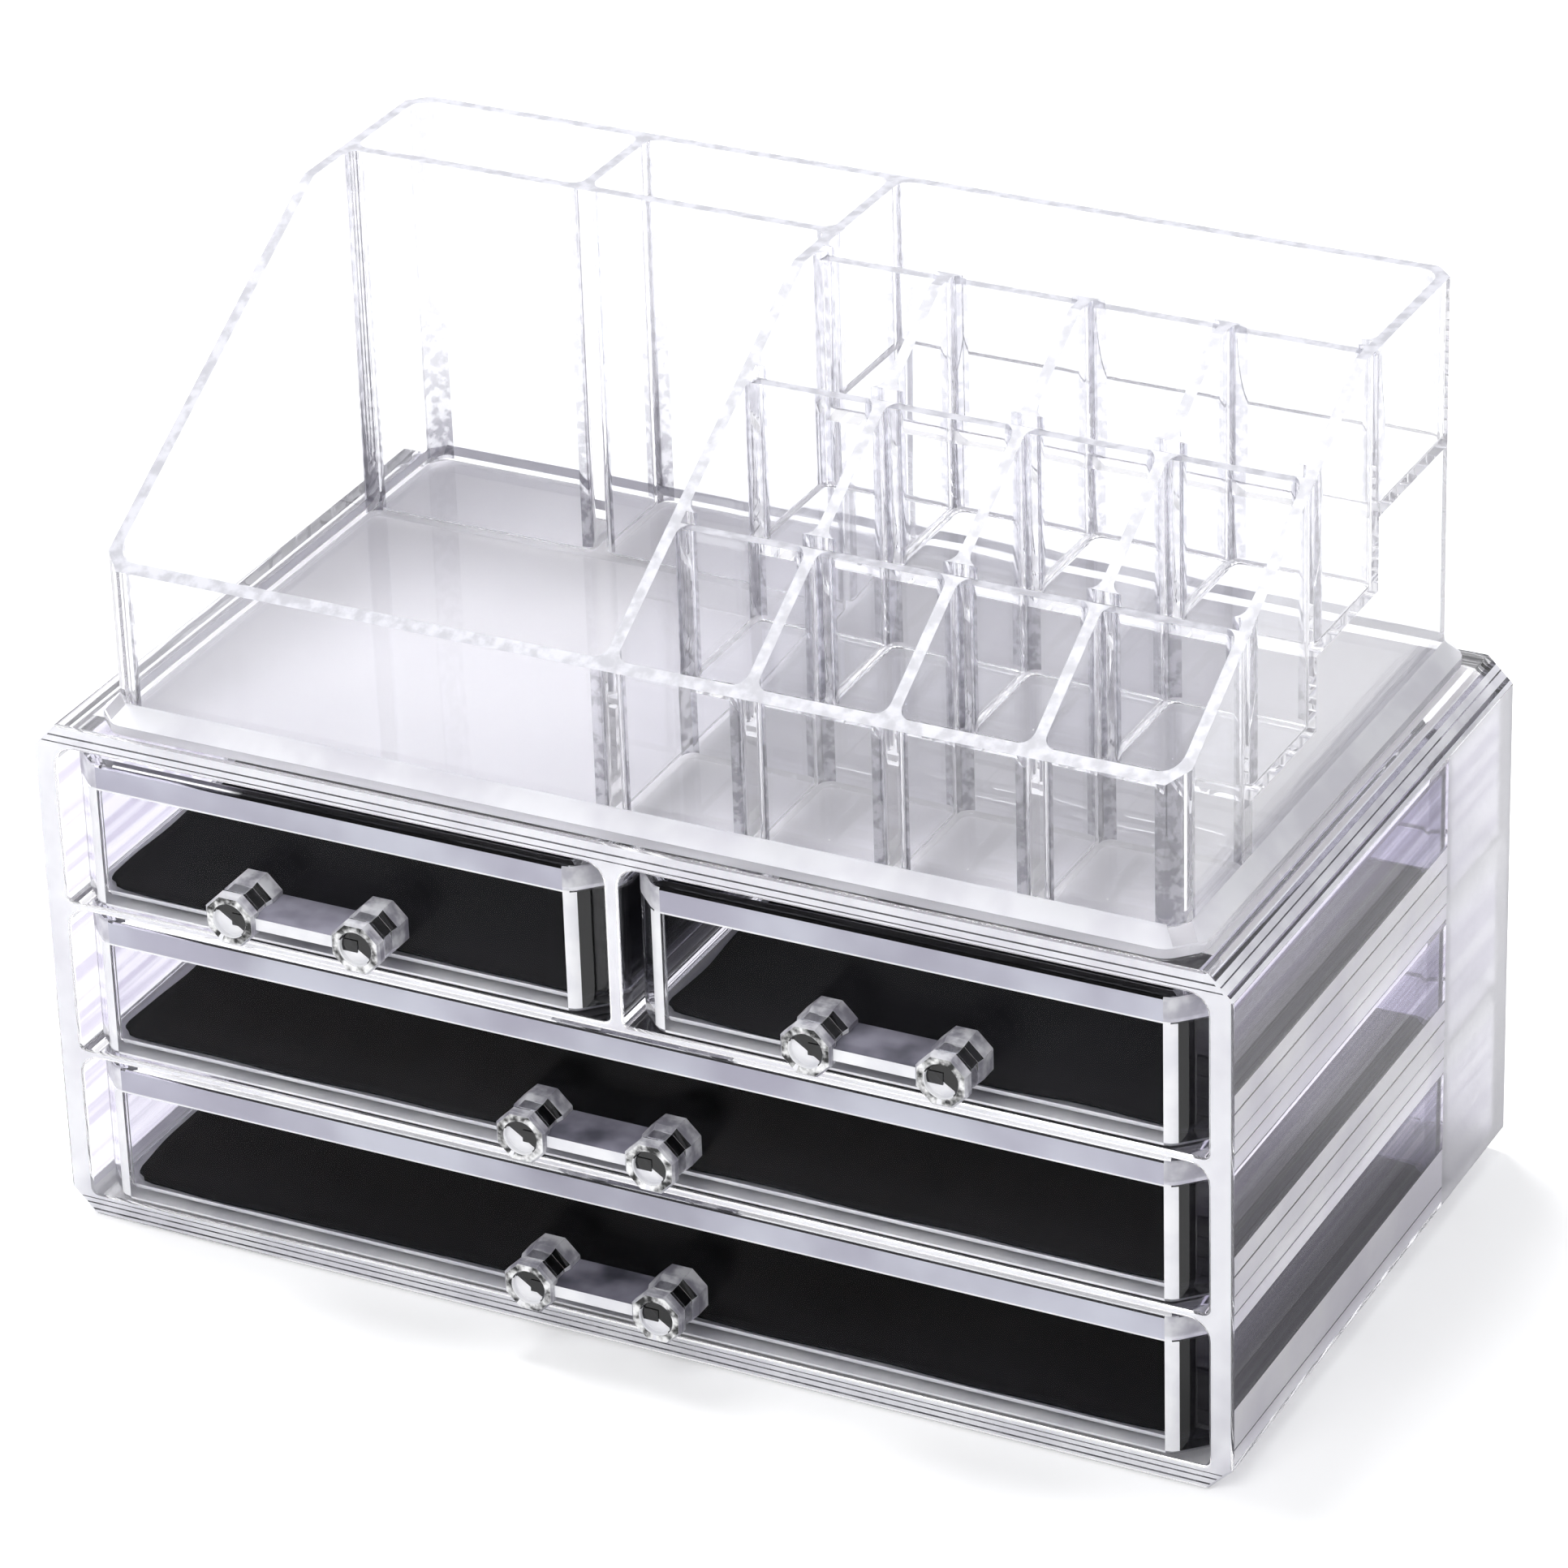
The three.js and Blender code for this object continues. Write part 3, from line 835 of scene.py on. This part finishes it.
def painted_streak_plastic(name, dark, pale):
    graph = Graph(bpy.data.materials.new(name))
    along = graph.node("ShaderNodeVectorMath", {0: graph.place(), 1: STREAKS}, operation="MULTIPLY")
    streak = graph.noise(1.0, 2.0, along.outputs[0]).smooth(0.4, 0.6)
    tint = graph.mix(streak, dark, pale)
    return graph.surface(
        {"Base Color": tint, "Roughness": streak * 0.01, "IOR": SIDE_IOR, "Transmission Weight": 1.0}
    )


side_painted_streaks = painted_streak_plastic("chest_side_streaks", (0.48, 0.44, 0.58), (0.92, 0.9, 0.98))
tub_side = painted_streak_plastic("drawer_side_streaks", (0.4, 0.38, 0.47), (0.8, 0.79, 0.86))

# %% [markdown]
# The photograph draws every rounded edge with broken dark lines: there the plastic bends the view
# down into the black liners. Here those lines are painted: a deeper, uneven tint on the narrow faces alone,
# a painted reflection of the liners. On the tray the painted shade is deepest low down, where the liners
# are near.


# %% Edge plastic
def painted_line_plastic(name, dark, pale, mottled, low_z=0.0, high_z=0.3):
    """Painted dark lines, reflections of the liners, that pale between two heights, in metres; mottled is
    the noise's share in it.
    """
    graph = Graph(bpy.data.materials.new(name))
    place = graph.place()
    height = graph.axes(place)[2]
    mottle = graph.noise(480.0, 2.0, place).smooth(0.4, 0.6)
    light = height.smooth(low_z, high_z) * (1.0 - mottled) + mottle * mottled
    tint = graph.mix(light, dark, pale)
    return graph.surface(
        {"Base Color": tint, "Roughness": mottle * 0.02, "IOR": PLASTIC_IOR, "Transmission Weight": 1.0}
    )


fillet_line = painted_line_plastic("tray_fillet_edge", (0.1, 0.095, 0.12), (0.86, 0.86, 0.91), 0.4, 0.105, 0.15)
rim_line = painted_line_plastic("tray_rim_edge", (0.2, 0.2, 0.23), (0.62, 0.62, 0.67), 0.25, 0.12, 0.185)
chest_line = painted_line_plastic("chest_mouth_edge", (0.002, 0.002, 0.003), (0.05, 0.05, 0.06), 0.45)
window_dark = painted_line_plastic("handle_window_edge", (0.0003, 0.0003, 0.0004), (0.004, 0.004, 0.005), 0.25)
facet_dark = painted_line_plastic("drawer_corner_facet", (0.001, 0.001, 0.0015), (0.012, 0.012, 0.016), 0.25)
side_line = painted_line_plastic("chest_side_line", (0.03, 0.026, 0.045), (0.16, 0.15, 0.2), 0.3, 0.0, 0.15)

# %% [markdown]
# The rims of the two top drawers are thin black lines in the photograph, but only from a point on the left
# onwards: there they mirror the black liners. That mirror image is painted: the rims' tint turns black
# there.

# %% Rim of the top drawers
BRIGHT_UNTIL, BLACK_FROM = -0.082, -0.076
graph = Graph(bpy.data.materials.new("top_drawer_rim_edge"))
black = graph.axes(graph.place())[0].smooth(BRIGHT_UNTIL, BLACK_FROM)
tint = graph.mix(black, (0.9, 0.9, 0.94), (0.0004, 0.0004, 0.0005))
rim_painted_reflection = graph.surface({"Base Color": tint, "Roughness": 0.02, "IOR": GAP_IOR, "Transmission Weight": 1.0})

# %% [markdown]
# Many places look pale and hazy in the photograph instead of clear: the underside of the chest's top plate,
# its front rim, its slanted edges and bands on its right side, the drawers' rims, the tray's foot and rims,
# and parts of the handles. There a partly see-through satin skin is painted on: its pale colours are
# painted light that the clear plastic bends into view, and its dark and mottled colours are painted
# reflections.
# The skins also stop thin plates from carrying chains of small reflections along.
# A few glow faintly, in place of light that the rendering's walls swallow.


# %% Satin plastic
def painted_satin_plastic(name, scale, low, high, clear, glow=0.0):
    graph = Graph(bpy.data.materials.new(name))
    place = graph.place()
    grain = graph.noise(900.0, 2.0, place)
    return graph.surface(
        {
            "Base Color": graph.mix(graph.noise(scale, 3.0, place).smooth(0.35, 0.65), low, high),
            "Roughness": 0.35 + grain * 0.2,
            "IOR": PLASTIC_IOR,
            "Transmission Weight": clear,
            "Normal": graph.bump(0.12, 0.0002, grain),
            "Emission Color": (1, 1, 1, 1),
            "Emission Strength": glow,
        }
    )


# Painted light: the pale and white satins below stand for light that the clear plastic bends into view, and
# the dark and mottled ones are painted reflections and glints.
top_painted_satin = painted_satin_plastic("chest_top_satin", 14, (0.94, 0.92, 0.96), (1, 1, 1), 0.02, 0.16)
front_painted_satin = painted_satin_plastic("chest_front_satin", 60, (0.8, 0.79, 0.85), (0.94, 0.94, 0.98), 0.2)
corner_painted_satin = painted_satin_plastic("chest_corner_satin", 90, (0.7, 0.69, 0.75), (0.92, 0.92, 0.96), 0.12)
side_painted_haze = painted_satin_plastic("chest_side_haze", 40, (0.78, 0.75, 0.84), (0.97, 0.95, 1), 0.4, 0.06)
back_painted_haze = painted_satin_plastic("chest_side_back_haze", 30, (0.78, 0.77, 0.82), (0.88, 0.87, 0.91), 0.6)
band_painted_satin = painted_satin_plastic("drawer_rim_painted_satin", 30, (0.42, 0.41, 0.5), (0.62, 0.63, 0.72), 0.1)
band_end = painted_satin_plastic("drawer_rim_end_painted_satin", 220, (0.6, 0.59, 0.66), (0.96, 0.96, 1), 0.35)
base_painted_satin = painted_satin_plastic("tray_base_satin", 7, (0.84, 0.83, 0.88), (0.9, 0.89, 0.93), 0.3, 0.06)
rim_top_painted_satin = painted_satin_plastic("tray_rim_painted_satin", 400, (0.42, 0.42, 0.46), (0.6, 0.6, 0.65), 0.3)
bright_painted_satin = painted_satin_plastic("handle_web_satin", 120, (0.86, 0.86, 0.9), (0.98, 0.98, 1), 0.1)
web_top = painted_satin_plastic("handle_web_top_satin", 70, (0.05, 0.05, 0.07), (0.3, 0.29, 0.36), 0.2)
pale_painted_satin = painted_satin_plastic("handle_pale_satin", 260, (0.3, 0.29, 0.35), (0.96, 0.96, 1), 0.5)
head_painted_satin = painted_satin_plastic("handle_head_satin", 520, (0, 0, 0), (1, 1, 1), 0.1)

# %% [markdown]
# The liner is a soft matt black. A short fibre bump and a slow change from black to charcoal
# keep it from looking like a hole in the picture.

# %% Liner black
graph = Graph(bpy.data.materials.new("liner_black_felt"))
place = graph.place()
slow, fibre = graph.noise(22.0, 2.0, place), graph.noise(2600.0, 2.0, place)
black_felt = graph.surface(
    {
        "Base Color": graph.mix(slow, (0.006, 0.006, 0.007), (0.016, 0.016, 0.019)),
        "Roughness": 0.8 + fibre * 0.15,
        "Normal": graph.bump(0.1, 0.0002, fibre),
        "Specular IOR Level": 0.15,
    }
)

# %% [markdown]
# ## Which face gets which finish
# Each piece starts in one material, and some of its faces then get another.
# The rows of such a list are taken in turn: a later row wins over an earlier one,
# and a face counts as plain as long as no row has chosen it.


# %% Dressing
def dress(piece, main, rows=()):
    """Gives a piece its main material, and the faces that a row chooses that row's material."""
    slots = piece.data.materials
    slots.clear()
    slots.append(main)
    for material, chosen in rows:
        picked = [
            face
            for face in piece.data.polygons
            if chosen(Spot(face.center, face.normal, face.area, not face.material_index))
        ]
        if picked:
            slots.append(material)
            print(piece.name, len(picked), "faces in", material.name)
        for face in picked:
            face.material_index = len(slots) - 1


for pad in pads.values():
    dress(pad, black_felt)

# %% [markdown]
# The chest: its ceiling is painted white satin a little behind the mouths, the flat sides have painted
# streaks on the right and are quiet on the left, and the strips that were cut above get their painted bands
# and lines, all painted light and painted reflections.

# %% Chest faces
BIG = 100


def slanted_edge(f):
    """The cut edges of the chest and the rounded ones at its back."""
    outside = abs(f.x) > inner_right + 0.5 and 0.15 < abs(f.nx) < 0.98
    return outside and (abs(f.nz) > 0.15 or f.y > chest_high[1] - 1)


def dark_strip(f):
    beside = at_right(f) and f.between(SIDE_LINES) and f.y < DRAWERS_END
    return beside or at_top_cut(f) and f.between(TOP_LINES)


# The ceiling behind the mouths is painted white light, with a faint glow.
def painted_white_ceiling(f):
    return abs(f.z - ceiling) < NEAR and f.nz < -0.9 and f.y > chest_low[1] + CEILING_PAINT_START


dress(
    chest_moulding,
    chest_clear,
    [
        (top_painted_satin, painted_white_ceiling),
        (side_painted_streaks, lambda f: abs(f.nx) > 0.999 and f.area > BIG and abs(f.x) > inner_right),
        (front_painted_satin, at_front),
        (corner_painted_satin, slanted_edge),
        (left_clear, lambda f: f.nx < -0.999 and f.x < chest_low[0] + NEAR),
        (side_painted_haze, lambda f: at_right(f) and f.between(HAZE_BANDS)),
        (back_painted_haze, lambda f: at_right(f) and f.y > DRAWERS_END),
        (side_line, dark_strip),
        (chest_line, lambda f: at_front(f) and f.between(FRONT_LINES)),
    ],
)

# %% [markdown]
# The drawers: the band round the rim is a painted pale satin, painted light, with a painted bright line
# under it.
# The pane below is quiet, so that the liner is seen through it. The right cut corner is painted black, a
# painted reflection of the liner onto which it turns the view, and the roundings beside it are painted
# pale. The underside is painted pale satin.


# %% Drawer faces
def dress_tub(name, tub):
    low, high = box_mm(f"drawer_{name}_box")
    front, bottom, top = low[1], low[2], high[2]
    band = top - RIM_HEIGHT

    def at_band(f):
        return f.ny < -0.5 and f.y < front + TUB_CUT and band + BAND_LINE < f.z

    def bright_line(f):
        return f.ny < -0.9 and f.y < front + 1 and band < f.z < band + BAND_LINE

    def pane(f):
        """Flat outer and inner face of the front."""
        place = front if f.ny < 0 else front + TUB_WALL
        return f.plain and abs(f.ny) > 0.999 and abs(f.y - place) < NEAR

    def top_rim(f):
        upward = f.nz > 0.15 and abs(f.nx) < 0.1 and f.z > top - 0.6
        return name.startswith("top") and upward and f.y < front + RIM_WALL

    def side(f):
        return abs(f.nx) > 0.999 and f.area > BIG

    def corner_turn(f):
        """The rounded upright edges between the front and the cut corners, on the outside."""
        rounded = f.ny < -0.75 and abs(f.nx) > 0.05 and abs(f.nz) < 0.1
        return rounded and f.y < front + 1.2 and f.z < band

    def right_facet(f):
        diagonal = f.nx > 0.6 and f.ny < -0.6 and abs(f.nz) < 0.1
        return diagonal and f.y < front + TUB_CUT and f.z < band

    def floor_round(f):
        slanted = abs(f.nx) < 0.1 and 0.1 < abs(f.nz) < 0.97
        return slanted and f.y < front + TUB_CUT and f.z < bottom + TUB_FLOOR + 2

    rows = [
        (band_end, lambda f: at_band(f) and abs(f.nx) > 0.1),
        (band_painted_satin, lambda f: at_band(f) and abs(f.nx) < 0.02 and f.z < top - RIM_EDGE),
        (bright_painted_satin, bright_line),
        (front_clear, pane),
        (rim_painted_reflection, top_rim),
        (tub_side, side),
        (left_clear, lambda f: side(f) and f.x < (low[0] + high[0]) / 2),
        (bright_painted_satin, corner_turn),
        (facet_dark, right_facet),
        (bright_painted_satin, floor_round),
        (bright_painted_satin, lambda f: f.nz < -FLAT and f.z < bottom + 0.4),
    ]
    dress(tub, tub_clear, rows)


for name, tub in tubs.items():
    dress_tub(name, tub)

# %% [markdown]
# The handles: crisp black and white, as cut glass, painted on as reflections and highlights. The waist's
# flats that look up and to the right are painted black windows, the narrow edges between the flats are
# painted white, the web's top is painted dark, and the head's face is a painted mottle of glints.
# The backs of the posts are quiet, so that they don't mirror the drawer.
# A part of a post is given by its two distances from the drawer's face.

# %% Handle faces
RECESS_RADIUS, POST_RADIUS, SMALLEST, SMALL = 3.6, 6, 1, 1.2
FOOT_PART, WAIST, HEAD_PART, HEAD_FACE = (0.2, 5.3), (4.0, 8.8), (8.6, 11.2), (10.8, 11.2)
WINDOW_WAY = (0.6, 0.8)


def dress_handle(name, handle):
    low, high = box_mm(f"drawer_{name}_handle")
    axis_x, axis_z = (low[0] + high[0]) / 2, (low[2] + high[2]) / 2
    back = high[1] - FACE_GAP
    head = back - POST_PROFILE[-1][0]

    def from_axis(f):
        """Distance from the axis of the nearer post."""
        return math.hypot(abs(f.x - axis_x) - half_post, f.z - axis_z)

    def web_front(f):
        return f.ny < -FLAT and abs(back - WEB_REACH - f.y) < 0.05 and abs(f.x - axis_x) < half_post - 4

    def recess(f):
        return f.plain and 0.1 < f.y - head < 1.4 and from_axis(f) < RECESS_RADIUS

    def dark_half(f):
        across = f.x - axis_x
        across -= math.copysign(half_post, across)
        return across * RECESS_TILT[0] + (f.z - axis_z) * RECESS_TILT[1] > RECESS_SHIFT

    def window(f):
        turned_up = f.nx * WINDOW_WAY[0] + f.nz * WINDOW_WAY[1] > 0.9 and abs(f.ny) < 0.6
        return turned_up and WAIST[0] < back - f.y < WAIST[1] and f.area > SMALL

    def narrow_edge(f):
        on_post = RECESS_RADIUS < from_axis(f) < POST_RADIUS and 3.4 < back - f.y < 11.2
        return f.plain and on_post and f.area <= SMALL

    def flat_of(f, part):
        """Plain flats of one part of a post."""
        on_post = f.plain and f.area > SMALLEST and from_axis(f) < POST_RADIUS
        return on_post and part[0] < back - f.y < part[1]

    rows = [
        (bright_painted_satin, web_front),
        (window_dark, lambda f: recess(f) and dark_half(f)),
        (bright_painted_satin, recess),
        (window_dark, window),
        (bright_painted_satin, narrow_edge),
        (pale_painted_satin, lambda f: flat_of(f, FOOT_PART) and f.ny < 0.9),
        (pale_painted_satin, lambda f: flat_of(f, HEAD_PART) and abs(f.ny) < 0.9),
        (head_painted_satin, lambda f: flat_of(f, HEAD_FACE) and f.ny < -0.9),
        (web_top, lambda f: f.nz > FLAT and f.area > 20 and abs(f.x - axis_x) < 3),
        (front_clear, lambda f: f.plain and f.ny > FLAT),
    ]
    dress(handle, handle_clear, rows)


for name, handle in handles.items():
    dress_handle(name, handle)

# %% [markdown]
# The tray: painted satin on top of its rims, on the flare of its foot and underneath, painted light and
# shade, and painted dark broken lines along the borders of the rims and up the fillets between its walls,
# painted reflections of the liners.

# %% Tray faces
rim_slope = (tray_top - front_rim) / (slope_y - tray_low[1])


def below_rim(f, most):
    """Whether a face lies at the tray's rim, or at most so far below it."""
    rim = min(tray_top, front_rim + rim_slope * (f.y - tray_low[1]))
    return rim - most < f.z < rim + 0.2


def foot_slope(f):
    """The flare between the tray's walls and the edge of its foot."""
    outside = not (tray_low[0] < f.x < tray_high[0] and tray_low[1] < f.y < tray_high[1])
    return outside and 0.3 < f.nz < 0.97 and tray_base_top - 0.2 < f.z < tray_base_top + FOOT_RISE


def front_floor_round(f):
    """The fillet along the foot of the front wall, on the inside."""
    slanted = 0.1 < f.nz < 0.97 and abs(f.ny) > 0.1
    reach = CELL_FILLET + 0.2
    return slanted and in_low[1] - 0.1 < f.y < in_low[1] + reach and f.z < tray_base_top + reach


def upright_fillet(f):
    inside = in_low[0] < f.x < in_high[0] and in_low[1] < f.y < in_high[1]
    return inside and abs(f.nz) < 0.05 and abs(f.nx) > 0.1 and abs(f.ny) > 0.1


dress(
    tray_moulding,
    tray_clear,
    [
        (rim_top_painted_satin, lambda f: f.nz > 0.86 and abs(f.nx) < 0.05 and below_rim(f, 4)),
        (front_painted_satin, foot_slope),
        (base_painted_satin, lambda f: f.nz < -FLAT and f.z < chest_high[2] + 0.5),
        (bright_painted_satin, front_floor_round),
        (rim_line, lambda f: f.plain and f.nz > 0.15 and below_rim(f, 3.2) and f.z > front_rim - 2),
        (fillet_line, upright_fillet),
    ],
)

# %% [markdown]
# ## Studio
# The photograph is a cut-out on white, with a soft shadow to the right and in front. The floor is white,
# and a little of its brightness is added only for the camera and for rays through the plastic.

# %% Floor
FLOOR_LIFT, CLEAR_LIFT = 0.36, 0.06
REACH, SUNK = 6.0, -0.0003
floor_mesh = bpy.data.meshes.new("studio_floor")
corners = [(-REACH, -REACH), (REACH, -REACH), (REACH, REACH), (-REACH, REACH)]
floor_mesh.from_pydata([(x, y, SUNK) for x, y in corners], [], [(0, 1, 2, 3)])
studio_floor = bpy.data.objects.new("studio_floor", floor_mesh)
bpy.context.collection.objects.link(studio_floor)
floor_material = bpy.data.materials.new("studio_floor_white")
graph = Graph(floor_material)
white = graph.mix(graph.noise(300.0, 2.0, graph.place()), (0.86, 0.86, 0.865), (0.88, 0.88, 0.885))
matt_white = {"Base Color": white, "Roughness": 0.9, "Specular IOR Level": 0.0}
matt = graph.node("ShaderNodeBsdfPrincipled", matt_white)
through = graph.ray("Transmission") + graph.ray("Glossy")
strength = graph.ray("Camera") * FLOOR_LIFT + (through > 0.5) * CLEAR_LIFT
lift = graph.node("ShaderNodeEmission", {"Color": (1, 1, 1, 1), "Strength": strength})
both = graph.node("ShaderNodeAddShader", {0: matt.outputs[0], 1: lift.outputs[0]})
graph.node("ShaderNodeOutputMaterial", {"Surface": both.outputs[0]})
floor_mesh.materials.append(floor_material)

# %% [markdown]
# Clear plastic is drawn by what it bends into view. The object stands in a white light tent,
# a little greyer towards the front, and the tent's opening, through which the photograph is taken, is dark.
# Edges and facets that throw the view back towards the opening turn dark, and all others stay pale.

# %% World
OPENING = (0.408, -0.783, 0.468)
world = bpy.data.worlds.new("studio_world")
bpy.context.scene.world = world
graph = Graph(world)
x, y, z = graph.axes(graph.node("ShaderNodeTexCoord").outputs["Generated"])
opening = (x * OPENING[0] + y * OPENING[1] + z * OPENING[2]).smooth(0.86, 0.93)
tent = graph.mix(y.smooth(-0.3, 0.35), (0.5, 0.5, 0.58), (1, 1, 1))
tent = graph.mix(z.smooth(0.25, 0.5), tent, (1, 1, 1))
room = graph.mix(opening, tent, (0.03, 0.03, 0.04))
lit, shown, white = (
    graph.node("ShaderNodeBackground", {"Color": colour, "Strength": strength}).outputs[0]
    for colour, strength in (((0.97, 0.98, 1, 1), 0.5), (room, 1.0), ((1, 1, 1, 1), 1.0))
)
see_through = graph.ray("Transmission") + graph.ray("Glossy")
through = graph.node("ShaderNodeMixShader", {0: see_through, 1: lit, 2: shown})
final = graph.node("ShaderNodeMixShader", {0: graph.ray("Camera"), 1: through.outputs[0], 2: white})
graph.node("ShaderNodeOutputWorld", {"Surface": final.outputs[0]})

# %% [markdown]
# One broad lamp stands behind on the left, high up, so the shadow falls to the right and to the front.
# A weaker one in front fills the shadow.


# %% Lamps
def soft_lamp(name, place, aim, size, power):
    data = bpy.data.lights.new(name, "AREA")
    data.shape, data.size, data.energy = "DISK", size, power
    lamp = bpy.data.objects.new(name, data)
    lamp.location = place
    lamp.rotation_mode = "QUATERNION"
    lamp.rotation_quaternion = (Vector(aim) - Vector(place)).to_track_quat("-Z", "Y")
    bpy.context.collection.objects.link(lamp)


LAMP_AIM = (0, 0, 0.05)
soft_lamp("key_lamp", (-0.35, 0.2, 1.45), LAMP_AIM, 0.6, 22)
soft_lamp("fill_lamp", (0.1, -1.1, 1.2), LAMP_AIM, 0.9, 8)

# %% [markdown]
# ## Camera
# The place and the angle come from the photograph's straight edges: a camera was fitted so that the chest's
# and the tray's edges fall on their lines in the picture. It stands at the front right and looks down
# at 28 degrees.

# %% Camera
AZIMUTH, ELEVATION, ROLL = (math.radians(v) for v in (27.504, 27.943, -1.911))
FOCAL_PIXELS, IMAGE_PIXELS, SENSOR = 8667.495, 1932, 36.0
DISTANCE, AIM_OFFSET = 1.301486, (1.503, 0, 33.032)
target = Vector(((chest_low + chest_high) / 2 + np.array(AIM_OFFSET)) * MM)
along = math.cos(ELEVATION)
forward = Vector((-math.sin(AZIMUTH) * along, math.cos(AZIMUTH) * along, -math.sin(ELEVATION)))
level = Vector((math.cos(AZIMUTH), math.sin(AZIMUTH), 0))
above = level.cross(forward)
side = level * math.cos(ROLL) + above * math.sin(ROLL)
top_way = -level * math.sin(ROLL) + above * math.cos(ROLL)
camera_data = bpy.data.cameras.new("photo_camera")
camera_data.sensor_width = SENSOR
camera_data.lens = FOCAL_PIXELS * SENSOR / IMAGE_PIXELS
camera_data.clip_start, camera_data.clip_end = 0.05, 20
camera = bpy.data.objects.new("photo_camera", camera_data)
bpy.context.collection.objects.link(camera)
turn = Matrix((side, top_way, -forward)).transposed().to_4x4()
camera.matrix_world = Matrix.Translation(target - forward * DISTANCE) @ turn
bpy.context.scene.camera = camera

# %% [markdown]
# ## Picture settings
# Light crosses a dozen clear walls before it reaches the floor behind, so it needs many bounces.

# %% Finish
scene = bpy.context.scene
scene.view_settings.view_transform = "Standard"
scene.cycles.max_bounces = 80
scene.cycles.transmission_bounces = 80
scene.cycles.glossy_bounces = 80
scene.cycles.transparent_max_bounces = 32
scene.cycles.diffuse_bounces = 10
